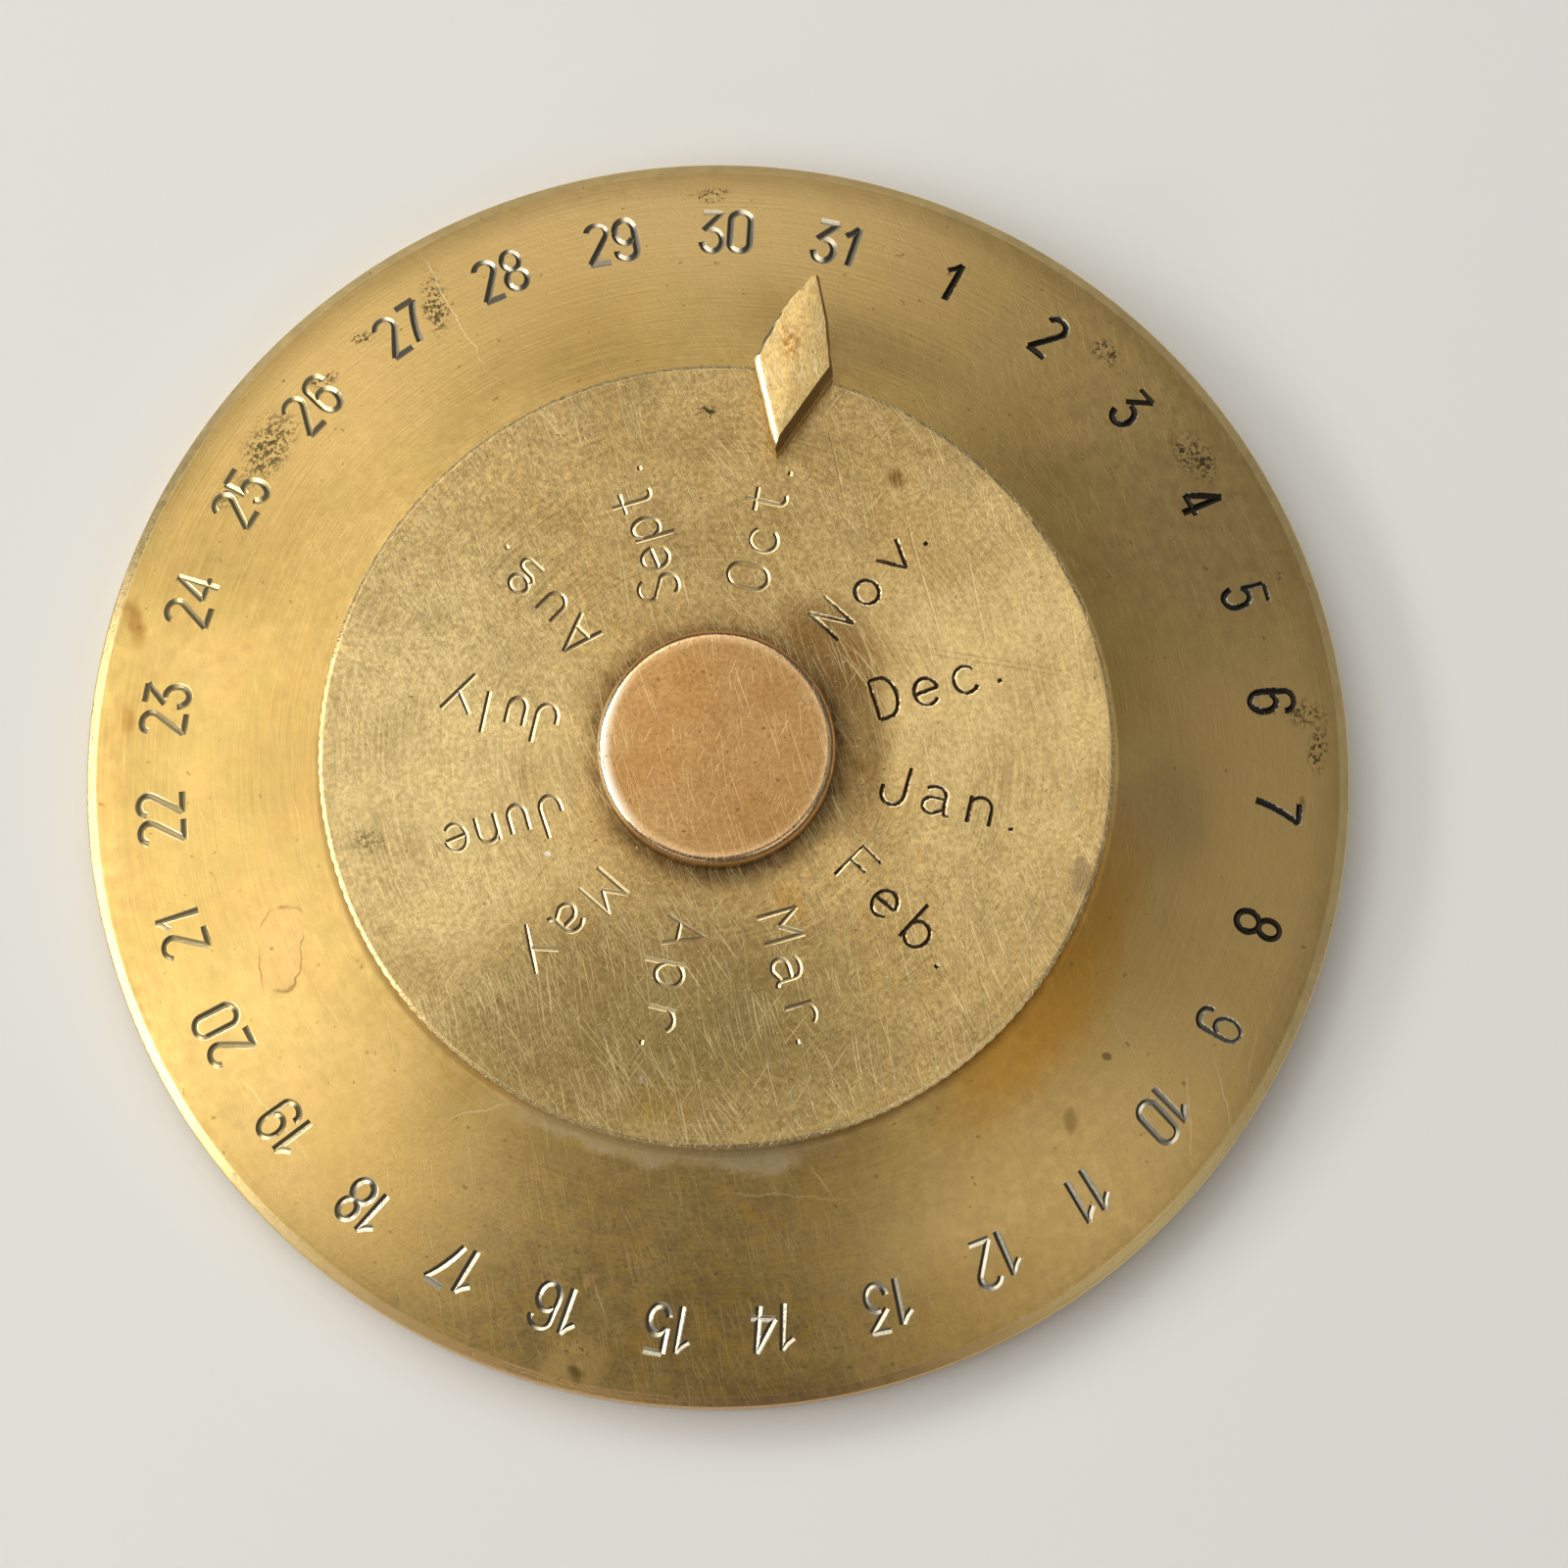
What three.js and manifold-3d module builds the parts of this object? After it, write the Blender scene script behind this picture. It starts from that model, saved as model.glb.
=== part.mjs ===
// Perpetual desk calendar: a heavy turned brass base with the dates on its cone, a month disc
// with a milled edge and a knob, and a lozenge pointer that straddles the disc's edge.
// Millimetres, +Z up. The origin is on the table, at the centre of the felt under the base.
// Seen from above with +Y away from the reader, the pointer stands a little clockwise of +Y.

import * as THREE from 'three';
import { mergeVertices } from 'three/addons/utils/BufferGeometryUtils.js';
import Module from 'manifold-3d';

const wasm = await Module();
wasm.setup();

// Driving sizes of the base
const baseRadius = 60;
const baseEdgeHeight = 4.7;
const baseEdgeRounding = 0.9;
const baseFootChamfer = 0.6;
const coneRise = 8;
const platformLedge = 0.5;

// Driving sizes of the felt
const feltThickness = 1.5;
const feltStand = 0.8;
const feltEdgeLand = 5.5;
const feltSideGap = 0.3;

// Driving sizes of the month disc and its milled edge
const discRadius = 37.1;
const discThickness = 1.6;
const discChamferWidth = 0.5;
const discChamferDepth = 0.4;
const toothCount = 174;
const toothDepth = 0.16;
const toothSteps = 3;

// Driving sizes of the knob
const knobRadius = 11.1;
const knobHeight = 3;
const knobRounding = 1;
const knobTopWall = 1.1;

// Driving sizes of the pointer, taken at its foot, with its length split at its widest place
const pointerTurnDegrees = 11.8;
const pointerHalfWidth = 3.6;
const pointerInnerLength = 9.3;
const pointerOuterLength = 8.3;
const pointerWidestPastDisc = 0.65;
const pointerProud = 2.6;
const pointerTipRounding = 0.45;
const pointerChamferWidth = 0.5;
const pointerChamferDepth = 1.3;
const pointerDiscGap = 0.3;

// Driving sizes of the plate that carries the pointer under the disc
const carrierThickness = 1.2;
const carrierInset = 0.4;
const earReach = 4.6;
const earInset = 0.5;

// Driving sizes of the two screws that hold the pointer
const screwShankRadius = 0.5;
const screwHeadRadius = 0.9;
const screwHeadDepth = 0.45;
const screwBite = 1.7;
const screwHalfSpacing = 1.15;
const screwPastDisc = 1.75;
const screwFit = 0.05;
const screwHeadSink = 0.1;
const screwHeadEdge = 0.1;

// Driving sizes of the bearing, the spindle and what holds it down
const frictionWasherThickness = 0.3;
const frictionWasherRadius = 20;
const spindleRadius = 3;
const spindleThreadRadius = 2.5;
const threadFit = 0.08;
const runningFit = 0.1;
const seatFit = 0.05;
const bushWall = 1.9;
const bushFlangeWidth = 1.5;
const bushFlangeThickness = 1;
const bushTopShort = 0.1;
const waveWidth = 2.4;
const waveThickness = 0.3;
const waveHeight = 1.2;
const waveCount = 3;
const plainWasherRadius = 5.5;
const plainWasherThickness = 0.8;
const nutSides = 6;
const nutAcrossFlats = 8;
const nutThickness = 2.7;
const nutCornerTrim = 0.3;
const spindleEndPastNut = 0.3;
const spindleEndClearance = 0.4;
const wrenchRoom = 2.8;

// Working values
const overrun = 1;
const baseSegments = 128;
const discHoleSegments = 64;
const smallSegments = 48;
const screwSegments = 24;
const cornerSteps = 4;

// Heights from the table up
const undersideZ = feltStand;
const rimZ = undersideZ + baseEdgeHeight;
const platformZ = rimZ + coneRise;
const carrierLowZ = platformZ + frictionWasherThickness;
const carrierTopZ = carrierLowZ + carrierThickness;
const discLowZ = carrierTopZ + frictionWasherThickness;
const discTopZ = discLowZ + discThickness;
const knobTopZ = discTopZ + knobHeight;
const pointerTopZ = discTopZ + pointerProud;

// Heights of the holding parts, from the felt up
const spindleEndZ = feltThickness + spindleEndClearance;
const lockNutZ = spindleEndZ + spindleEndPastNut;
const nutZ = lockNutZ + nutThickness;
const plainWasherZ = nutZ + nutThickness;
const waveZ = plainWasherZ + plainWasherThickness;
const flangeZ = waveZ + waveHeight;
const wellTopZ = flangeZ + bushFlangeThickness;

// Radii that follow from the sizes above
const platformRadius = discRadius + platformLedge;
const carrierRadius = discRadius - carrierInset;
const feltRadius = baseRadius - feltEdgeLand;
const bushRadius = spindleRadius + runningFit + bushWall;
const bushFlangeRadius = bushRadius + bushFlangeWidth;
const nutCornerRadius = nutAcrossFlats / 2 / Math.cos(Math.PI / nutSides);
const wellRadius = Math.max(nutCornerRadius, bushFlangeRadius, plainWasherRadius) + wrenchRoom / 2;
const pointerWidestRadius = discRadius + pointerWidestPastDisc;

// Finishes
function metal(color, roughness) {
  return new THREE.MeshStandardMaterial({ color, roughness, metalness: 1 });
}

const finishes = {
  baseBrass: metal(0xa8894a, 0.42),
  discBrass: metal(0xa5884c, 0.45),
  knobBronze: metal(0xa37c4c, 0.45),
  pointerBrass: metal(0xb2945a, 0.4),
  carrierBrass: metal(0x9c8048, 0.5),
  screwBrass: metal(0x9a7f46, 0.5),
  bushBronze: metal(0x8f6a3e, 0.45),
  steel: metal(0x8a8d90, 0.4),
  felt: new THREE.MeshStandardMaterial({ color: 0x1f3a2a, roughness: 1, metalness: 0 }),
  fibre: new THREE.MeshStandardMaterial({ color: 0x5a3320, roughness: 0.8, metalness: 0 }),
};

// Solids and meshes
function asSolid(geometry) {
  const bare = geometry.clone();
  bare.deleteAttribute('normal');
  bare.deleteAttribute('uv');
  const merged = mergeVertices(bare);
  return new wasm.Manifold(new wasm.Mesh({
    numProp: 3,
    vertProperties: new Float32Array(merged.attributes.position.array),
    triVerts: new Uint32Array(merged.index.array),
  }));
}

function asGeometry(solid) {
  const result = solid.getMesh();
  const geometry = new THREE.BufferGeometry();
  geometry.setAttribute('position', new THREE.BufferAttribute(result.vertProperties, 3));
  geometry.setIndex(new THREE.BufferAttribute(result.triVerts, 1));
  geometry.computeVertexNormals();
  return geometry;
}

function named(name, geometry, material) {
  const mesh = new THREE.Mesh(geometry, material);
  mesh.name = name;
  return mesh;
}

// A profile of [radius, height] pairs, listed from the bottom outwards and up, turned about Z
function turned(profile, segments) {
  const points = profile.map(([radius, height]) => new THREE.Vector2(radius, height));
  const geometry = new THREE.LatheGeometry(points, segments);
  geometry.rotateX(Math.PI / 2);
  return geometry;
}

function turnedRing(innerRadius, outerRadius, lowZ, highZ, segments) {
  return turned([
    [innerRadius, lowZ],
    [outerRadius, lowZ],
    [outerRadius, highZ],
    [innerRadius, highZ],
    [innerRadius, lowZ],
  ], segments);
}

function turnedPlug(radius, lowZ, highZ, segments) {
  return turned([[0, lowZ], [radius, lowZ], [radius, highZ], [0, highZ]], segments);
}

function outlineOf(corners) {
  return new THREE.Shape(corners.map(([x, y]) => new THREE.Vector2(x, y)));
}

// A flat outline raised from lowZ to highZ
function raised(shape, lowZ, highZ, curveSegments) {
  const settings = { depth: highZ - lowZ, bevelEnabled: false, curveSegments };
  const geometry = new THREE.ExtrudeGeometry(shape, settings);
  geometry.translate(0, 0, lowZ);
  return geometry;
}

// The arc that rounds a profile's corner, as points from the side before it to the side after it
function roundedCorner(before, corner, after, radius) {
  const cornerPoint = new THREE.Vector2(...corner);
  const toBefore = new THREE.Vector2(...before).sub(cornerPoint).normalize();
  const toAfter = new THREE.Vector2(...after).sub(cornerPoint).normalize();
  const halfAngle = Math.acos(toBefore.dot(toAfter)) / 2;
  const middle = toBefore.clone().add(toAfter).normalize();
  const centre = cornerPoint.clone().addScaledVector(middle, radius / Math.sin(halfAngle));
  const start = cornerPoint.clone().addScaledVector(toBefore, radius / Math.tan(halfAngle)).sub(centre);
  const end = cornerPoint.clone().addScaledVector(toAfter, radius / Math.tan(halfAngle)).sub(centre);
  const sweep = Math.atan2(start.cross(end), start.dot(end));
  return Array.from({ length: cornerSteps + 1 }, (_, step) => {
    const spoke = start.clone().rotateAround(new THREE.Vector2(), (sweep * step) / cornerSteps);
    return [centre.x + spoke.x, centre.y + spoke.y];
  });
}

// Base: the edge, the cone that holds the dates, the platform under the disc, and the well below
function basePlate() {
  const boreRadius = bushRadius + seatFit;
  const feltRoofZ = feltThickness;
  const recessRadius = feltRadius + feltSideGap;
  const rim = [baseRadius, rimZ];
  const platformEdge = [platformRadius, platformZ];
  return named('base_plate', turned([
    [boreRadius, wellTopZ],
    [wellRadius, wellTopZ],
    [wellRadius, feltRoofZ],
    [recessRadius, feltRoofZ],
    [recessRadius, undersideZ],
    [baseRadius - baseFootChamfer, undersideZ],
    [baseRadius, undersideZ + baseFootChamfer],
    ...roundedCorner([baseRadius, undersideZ], rim, platformEdge, baseEdgeRounding),
    platformEdge,
    [boreRadius, platformZ],
    [boreRadius, wellTopZ],
  ], baseSegments), finishes.baseBrass);
}

function feltPad() {
  return named('felt_pad', turnedPlug(feltRadius, 0, feltThickness, baseSegments), finishes.felt);
}

// Bush: pressed up into the base, its flange takes the spring's push and its top guides the carrier
function centreBush() {
  const bore = spindleRadius + runningFit;
  const topZ = carrierTopZ - bushTopShort;
  return named('centre_bush', turned([
    [bore, flangeZ],
    [bushFlangeRadius, flangeZ],
    [bushFlangeRadius, wellTopZ],
    [bushRadius, wellTopZ],
    [bushRadius, topZ],
    [bore, topZ],
    [bore, flangeZ],
  ], smallSegments), finishes.bushBronze);
}

function frictionWasher(name, lowZ) {
  const inner = bushRadius + runningFit;
  const highZ = lowZ + frictionWasherThickness;
  const ring = turnedRing(inner, frictionWasherRadius, lowZ, highZ, discHoleSegments);
  return named(name, ring, finishes.fibre);
}

// Month disc: a turned blank with a bevelled top edge, milled all round into small round teeth
function milledOutline() {
  const valleyRadius = discRadius - toothDepth;
  const toothAngle = (2 * Math.PI) / toothCount;
  const controlRadius = 2 * discRadius - valleyRadius * Math.cos(toothAngle / 2);
  const shape = new THREE.Shape();
  shape.moveTo(valleyRadius, 0);
  for (let tooth = 0; tooth < toothCount; tooth += 1) {
    const crest = (tooth + 0.5) * toothAngle;
    const valley = (tooth + 1) * toothAngle;
    shape.quadraticCurveTo(
      controlRadius * Math.cos(crest), controlRadius * Math.sin(crest),
      valleyRadius * Math.cos(valley), valleyRadius * Math.sin(valley),
    );
  }
  return shape;
}

function monthDisc() {
  const blankRadius = discRadius + toothDepth;
  const bevelWidth = discChamferWidth + toothDepth;
  const bevelLowZ = discTopZ - (bevelWidth * discChamferDepth) / discChamferWidth;
  const blank = asSolid(turned([
    [0, discLowZ],
    [blankRadius, discLowZ],
    [blankRadius, bevelLowZ],
    [discRadius - discChamferWidth, discTopZ],
    [0, discTopZ],
  ], toothCount));
  const milled = asSolid(raised(milledOutline(), discLowZ, discTopZ + overrun, toothSteps));
  const hole = asSolid(turnedPlug(
    spindleThreadRadius + threadFit, discLowZ - overrun, discTopZ + overrun, smallSegments,
  ));
  return named('month_disc', asGeometry(blank.intersect(milled).subtract(hole)), finishes.discBrass);
}

// Knob: screwed down on the spindle, so that the disc is gripped between it and the shoulder
function knob() {
  const holeRadius = spindleThreadRadius + threadFit;
  const holeTopZ = knobTopZ - knobTopWall;
  const edge = [knobRadius, knobTopZ];
  return named('knob', turned([
    [0, holeTopZ],
    [holeRadius, holeTopZ],
    [holeRadius, discTopZ],
    [knobRadius, discTopZ],
    ...roundedCorner([knobRadius, discTopZ], edge, [0, knobTopZ], knobRounding),
    [0, knobTopZ],
  ], discHoleSegments), finishes.knobBronze);
}

function spindle() {
  const topZ = knobTopZ - knobTopWall - threadFit;
  return named('spindle', turned([
    [0, spindleEndZ],
    [spindleThreadRadius, spindleEndZ],
    [spindleThreadRadius, flangeZ],
    [spindleRadius, flangeZ],
    [spindleRadius, discLowZ],
    [spindleThreadRadius, discLowZ],
    [spindleThreadRadius, topZ],
    [0, topZ],
  ], smallSegments), finishes.steel);
}

// Wave washer: a flat ring bent into even waves, which pulls the disc down on its friction washers
function waveWasher() {
  const inner = spindleRadius + runningFit;
  const bendHeight = (waveHeight - waveThickness) / 2;
  const geometry = turnedRing(inner, inner + waveWidth, waveZ, waveZ + waveThickness, smallSegments);
  const position = geometry.attributes.position;
  for (let index = 0; index < position.count; index += 1) {
    const angle = Math.atan2(position.getY(index), position.getX(index));
    const lift = bendHeight * (1 + Math.cos(waveCount * angle));
    position.setZ(index, position.getZ(index) + lift);
  }
  geometry.computeVertexNormals();
  return named('wave_washer', geometry, finishes.steel);
}

function plainWasher() {
  const inner = spindleThreadRadius + threadFit;
  const highZ = plainWasherZ + plainWasherThickness;
  const ring = turnedRing(inner, plainWasherRadius, plainWasherZ, highZ, smallSegments);
  return named('plain_washer', ring, finishes.steel);
}

// Thin nuts: six-sided, corners trimmed round, locked against each other so that they can't unscrew
function thinNut(name, lowZ) {
  const highZ = lowZ + nutThickness;
  const corners = Array.from({ length: nutSides }, (_, corner) => {
    const angle = (corner * 2 * Math.PI) / nutSides;
    return [nutCornerRadius * Math.cos(angle), nutCornerRadius * Math.sin(angle)];
  });
  const block = asSolid(raised(outlineOf(corners), lowZ, highZ, 1));
  const bore = spindleThreadRadius + threadFit;
  const collar = asSolid(turnedRing(bore, nutCornerRadius - nutCornerTrim, lowZ, highZ, smallSegments));
  return named(name, asGeometry(block.intersect(collar)), finishes.steel);
}

// Pointer: a lozenge that points inwards to the month and outwards to the date
function lozengeCorners() {
  return [
    [0, pointerWidestRadius - pointerInnerLength],
    [pointerHalfWidth, pointerWidestRadius],
    [0, pointerWidestRadius + pointerOuterLength],
    [-pointerHalfWidth, pointerWidestRadius],
  ];
}

// The largest circle inside the lozenge: growing or shrinking about its centre keeps sides parallel
function lozengeInscribed() {
  const innerSide = Math.hypot(pointerInnerLength, pointerHalfWidth);
  const outerSide = Math.hypot(pointerOuterLength, pointerHalfWidth);
  const length = pointerInnerLength + pointerOuterLength;
  const radius = (pointerHalfWidth * length) / (innerSide + outerSide);
  const pastWidest = (radius * innerSide) / pointerHalfWidth - pointerInnerLength;
  return { radius, centreY: pointerWidestRadius + pastWidest };
}

function lozengeOffset(inwards) {
  const { radius, centreY } = lozengeInscribed();
  const scale = (radius - inwards) / radius;
  return lozengeCorners().map(([x, y]) => [x * scale, centreY + (y - centreY) * scale]);
}

function roundedOutline(corners, radius) {
  const count = corners.length;
  const points = corners.flatMap((corner, index) => roundedCorner(
    corners[(index + count - 1) % count], corner, corners[(index + 1) % count], radius,
  ));
  return outlineOf(points);
}

// The bevelled body: upright sides, crossed with a lozenge that narrows towards the top face
function bevelledLozenge() {
  const height = pointerTopZ - carrierTopZ;
  const outline = roundedOutline(lozengeCorners(), pointerTipRounding);
  const upright = asSolid(raised(outline, carrierTopZ, pointerTopZ, 1));
  const top = lozengeOffset(pointerChamferWidth);
  const bottom = lozengeOffset(pointerChamferWidth - (height * pointerChamferWidth) / pointerChamferDepth);
  const narrowing = raised(outlineOf(bottom), carrierTopZ, pointerTopZ, 1);
  const { centreY } = lozengeInscribed();
  const position = narrowing.attributes.position;
  const shrink = top[1][0] / bottom[1][0];
  const middleZ = (carrierTopZ + pointerTopZ) / 2;
  for (let index = 0; index < position.count; index += 1) {
    if (position.getZ(index) > middleZ) {
      position.setX(index, position.getX(index) * shrink);
      position.setY(index, centreY + (position.getY(index) - centreY) * shrink);
    }
  }
  return upright.intersect(asSolid(narrowing));
}

function screwPlaces() {
  const y = discRadius + screwPastDisc;
  return [[-screwHalfSpacing, y], [screwHalfSpacing, y]];
}

// The sunk screw from below, or, grown by the fit and begun below the plate, the hole that it sits in
function sunkScrew(lowZ, grow) {
  const coneZ = carrierLowZ + screwHeadSink + screwHeadEdge;
  const shankZ = coneZ + screwHeadDepth + grow;
  const topZ = carrierTopZ + screwBite + grow;
  return turned([
    [0, lowZ],
    [screwHeadRadius + grow, lowZ],
    [screwHeadRadius + grow, coneZ],
    [screwShankRadius + grow, shankZ],
    [screwShankRadius + grow, topZ],
    [0, topZ],
  ], screwSegments);
}

function screwHoles() {
  const lowZ = carrierLowZ - overrun;
  return screwPlaces().map(([x, y]) => asSolid(sunkScrew(lowZ, screwFit).translate(x, y, 0)));
}

function pointer() {
  const discRoomRadius = discRadius + pointerDiscGap;
  const roomLowZ = carrierTopZ - overrun;
  const discRoom = asSolid(turnedPlug(discRoomRadius, roomLowZ, discTopZ + pointerDiscGap, baseSegments));
  const body = screwHoles().reduce((solid, hole) => solid.subtract(hole), bevelledLozenge());
  return named('pointer', asGeometry(body.subtract(discRoom)), finishes.pointerBrass);
}

function pointerScrew(index) {
  const [x, y] = screwPlaces()[index];
  const geometry = sunkScrew(carrierLowZ + screwHeadSink, 0).translate(x, y, 0);
  return named(`pointer_screw_${index + 1}`, geometry, finishes.screwBrass);
}

// Carrier: a thin plate under the disc, with one ear that reaches out under the pointer's leg
function pointerCarrier() {
  const bore = bushRadius + runningFit;
  const plate = asSolid(turnedRing(bore, carrierRadius, carrierLowZ, carrierTopZ, baseSegments));
  const earBlock = asSolid(raised(outlineOf(lozengeOffset(earInset)), carrierLowZ, carrierTopZ, 1));
  const earLimitRadius = carrierRadius + earReach;
  const limits = turnedPlug(earLimitRadius, carrierLowZ - overrun, carrierTopZ + overrun, baseSegments);
  const withEar = plate.add(earBlock.intersect(asSolid(limits)));
  const drilled = screwHoles().reduce((solid, hole) => solid.subtract(hole), withEar);
  return named('pointer_carrier', asGeometry(drilled), finishes.carrierBrass);
}

// Assembly
function pointerGroup() {
  const group = new THREE.Group();
  group.add(pointerCarrier(), pointer(), pointerScrew(0), pointerScrew(1));
  group.rotation.z = -THREE.MathUtils.degToRad(pointerTurnDegrees);
  return group;
}

function dialGroup() {
  const group = new THREE.Group();
  group.add(frictionWasher('upper_washer', carrierTopZ));
  group.add(monthDisc(), knob(), spindle());
  group.add(plainWasher(), thinNut('retaining_nut', nutZ), thinNut('lock_nut', lockNutZ));
  return group;
}

const calendar = new THREE.Group();
calendar.add(basePlate(), feltPad(), centreBush());
calendar.add(frictionWasher('lower_washer', platformZ));
calendar.add(waveWasher());
calendar.add(pointerGroup());
calendar.add(dialGroup());

export default calendar;
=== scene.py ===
# %% [markdown]
# # A turned brass desk calendar
# A heavy brass base carries the dates 1 to 31 on its cone, a month disc with a finely milled edge
# turns in its middle under a low bronze knob, and a brass lozenge points at month and date.
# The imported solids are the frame: they fix every size and every body. What shows is modelled again
# here with the marks of the punch, the lathe and the file, and every metal gets an aged finish.

# %% Load the frame
import bmesh
import bpy
import math
import random
from mathutils import Matrix, Vector, noise


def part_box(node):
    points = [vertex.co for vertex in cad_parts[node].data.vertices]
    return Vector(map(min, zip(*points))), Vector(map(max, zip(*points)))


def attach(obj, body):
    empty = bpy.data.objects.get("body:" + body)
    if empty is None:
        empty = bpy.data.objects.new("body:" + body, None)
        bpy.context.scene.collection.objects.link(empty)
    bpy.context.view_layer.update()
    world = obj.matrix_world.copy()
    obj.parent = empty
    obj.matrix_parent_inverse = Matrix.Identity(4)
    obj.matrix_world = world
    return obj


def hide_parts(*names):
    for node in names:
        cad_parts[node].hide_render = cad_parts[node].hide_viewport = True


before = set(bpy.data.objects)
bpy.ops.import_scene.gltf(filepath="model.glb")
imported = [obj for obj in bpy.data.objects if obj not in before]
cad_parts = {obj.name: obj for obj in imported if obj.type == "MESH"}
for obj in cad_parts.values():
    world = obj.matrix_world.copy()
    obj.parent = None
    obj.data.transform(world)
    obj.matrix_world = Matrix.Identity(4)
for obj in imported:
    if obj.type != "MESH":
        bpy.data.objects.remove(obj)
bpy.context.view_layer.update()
MM = 0.001

# %% [markdown]
# ## Camera
# The calendar is seen almost from straight above, from a little on the reader's side. The lean and
# the distance follow from the rims of base, disc and knob, which lie at different heights and are
# therefore shifted against each other in the picture. A long lens keeps the circles round.

# %% Camera
picture_px = 1600
sensor_mm = 36
focal_px = 5816
camera_lean = math.radians(10.13)
camera_distance = 541.4
camera_aim = Vector((6.27, -0.98, 5.5))
nearest_m, farthest_m = 0.01, 20


def placed(name, data):
    """A new object in the scene."""
    made = bpy.data.objects.new(name, data)
    bpy.context.scene.collection.objects.link(made)
    return made


towards_camera = Vector((0, -math.sin(camera_lean), math.cos(camera_lean)))
camera = placed("camera", bpy.data.cameras.new("camera"))
camera.data.sensor_width = sensor_mm
camera.data.lens = focal_px * sensor_mm / picture_px
camera.location = (camera_aim + camera_distance * towards_camera) * MM
camera.rotation_euler = towards_camera.to_track_quat("Z", "Y").to_euler()
camera.data.clip_start, camera.data.clip_end = nearest_m, farthest_m
bpy.context.scene.camera = camera
bpy.context.scene.view_settings.view_transform = "Standard"
print("lens", round(camera.data.lens, 1), "mm")

# %% [markdown]
# ## Nodes, colours and light
# Every material here is a small network of nodes, built in one tree at a time. One function adds a
# node to the tree at hand: its settings are named values, and an input is given either a number or
# the output that feeds it. Colours are written as sRGB hex, the way a colour picker shows them, and
# one function turns them into linear light.

# %% Helpers for colours and nodes
def colour(hex_code, alpha=1.0):
    channels = [int(hex_code[start:start + 2], 16) / 255 for start in (1, 3, 5)]
    linear = [c / 12.92 if c <= 0.04045 else ((c + 0.055) / 1.055) ** 2.4 for c in channels]
    return (*linear, alpha)


def empty_tree(owner):
    """Clears the tree of a material or a world. The nodes that are added next go into it."""
    global tree
    owner.use_nodes = True
    tree = owner.node_tree
    tree.nodes.clear()
    return owner


def add(kind, inputs=None, output=0, **settings):
    made = tree.nodes.new("ShaderNode" + kind)
    for key, value in settings.items():
        setattr(made, key, value)
    for key, value in (inputs or {}).items():
        if isinstance(value, bpy.types.NodeSocket):
            tree.links.new(value, made.inputs[key])
        else:
            made.inputs[key].default_value = value
    return made.outputs[output] if made.outputs else made


def finish_of(name, build):
    """A material. Its nodes come from a function that returns the surface."""
    material = empty_tree(bpy.data.materials.new(name))
    add("OutputMaterial", {"Surface": build()})
    return material


# %% Floor and light
floor_half_size = 4.0
floor_drop = 0.00002
world_strength = 0.16
lamp_distance = 1.4
lamp_tint = "#fffdf8"


def mesh_of(bm, name):
    mesh = bpy.data.meshes.new(name)
    bm.to_mesh(mesh)
    bm.free()
    return mesh


bm = bmesh.new()
bmesh.ops.create_grid(bm, x_segments=1, y_segments=1, size=floor_half_size)
bmesh.ops.translate(bm, vec=(0, 0, -floor_drop), verts=bm.verts)
floor = placed("floor", mesh_of(bm, "floor"))
floor.data.materials.append(finish_of("pale_matt_paper", lambda: add("BsdfPrincipled", {
    "Base Color": colour("#f1f0ec"), "Roughness": 0.9})))

bpy.context.scene.world = empty_tree(bpy.data.worlds.new("studio"))
add("OutputWorld", {"Surface": add("Background", {"Color": colour("#f4f6fa"), "Strength": world_strength})})


def compass(azimuth):
    """The level direction of an azimuth, which counts clockwise from +Y in degrees."""
    angle = math.radians(azimuth)
    return Vector((math.sin(angle), math.cos(angle), 0))


def softbox(name, azimuth, elevation, width, height, radiance):
    """An area light that faces the calendar."""
    rise = math.radians(elevation)
    way = compass(azimuth) * math.cos(rise) + Vector((0, 0, math.sin(rise)))
    light = bpy.data.lights.new(name, "AREA")
    light.shape = "RECTANGLE"
    light.size, light.size_y = width, height
    light.energy = radiance * math.pi * width * height
    light.color = colour(lamp_tint)[:3]
    lamp = placed(name, light)
    lamp.location = way * lamp_distance
    lamp.rotation_euler = way.to_track_quat("Z", "Y").to_euler()


softboxes = [
    # name, azimuth, elevation, width, height, radiance
    ("low_west_light", 268, 31, 1.25, 0.26, 6.8),
    ("south_west_light", 248, 50, 0.75, 0.6, 1.5),
    ("north_west_light", 315, 50, 0.75, 0.6, 2.25),
    ("north_light", 0, 50, 0.75, 0.6, 1.3),
    ("south_east_light", 135, 50, 0.75, 0.6, 1.0),
    ("low_south_light", 205, 25, 0.9, 0.2, 1.4),
    ("east_light", 78, 50, 0.6, 0.5, 0.35),
    ("overhead_light", 305, 78, 1.1, 1.0, 1.1),
]
for box in softboxes:
    softbox(*box)
print("softboxes:", len(softboxes))

# %% [markdown]
# ## Patterns for aged metal
# All finishes here are built from a few patterns with real sizes in millimetres. A grid gives object
# coordinates counted in features, so that noise of scale 1 has spots of the size that is asked for.
# Stretched noise gives scratches, noise wound round the axis gives the traces of the lathe, and a
# patch is a soft spot at a place. Each pattern is a mask between 0 and 1. Where a real trace is finer
# than the picture can show, such as a lathe line of 0.05 mm, it is drawn a few times coarser, so that
# it still reads as brushing.

# %% Pattern helpers
def object_place():
    return add("TexCoord", output="Object")


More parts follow.
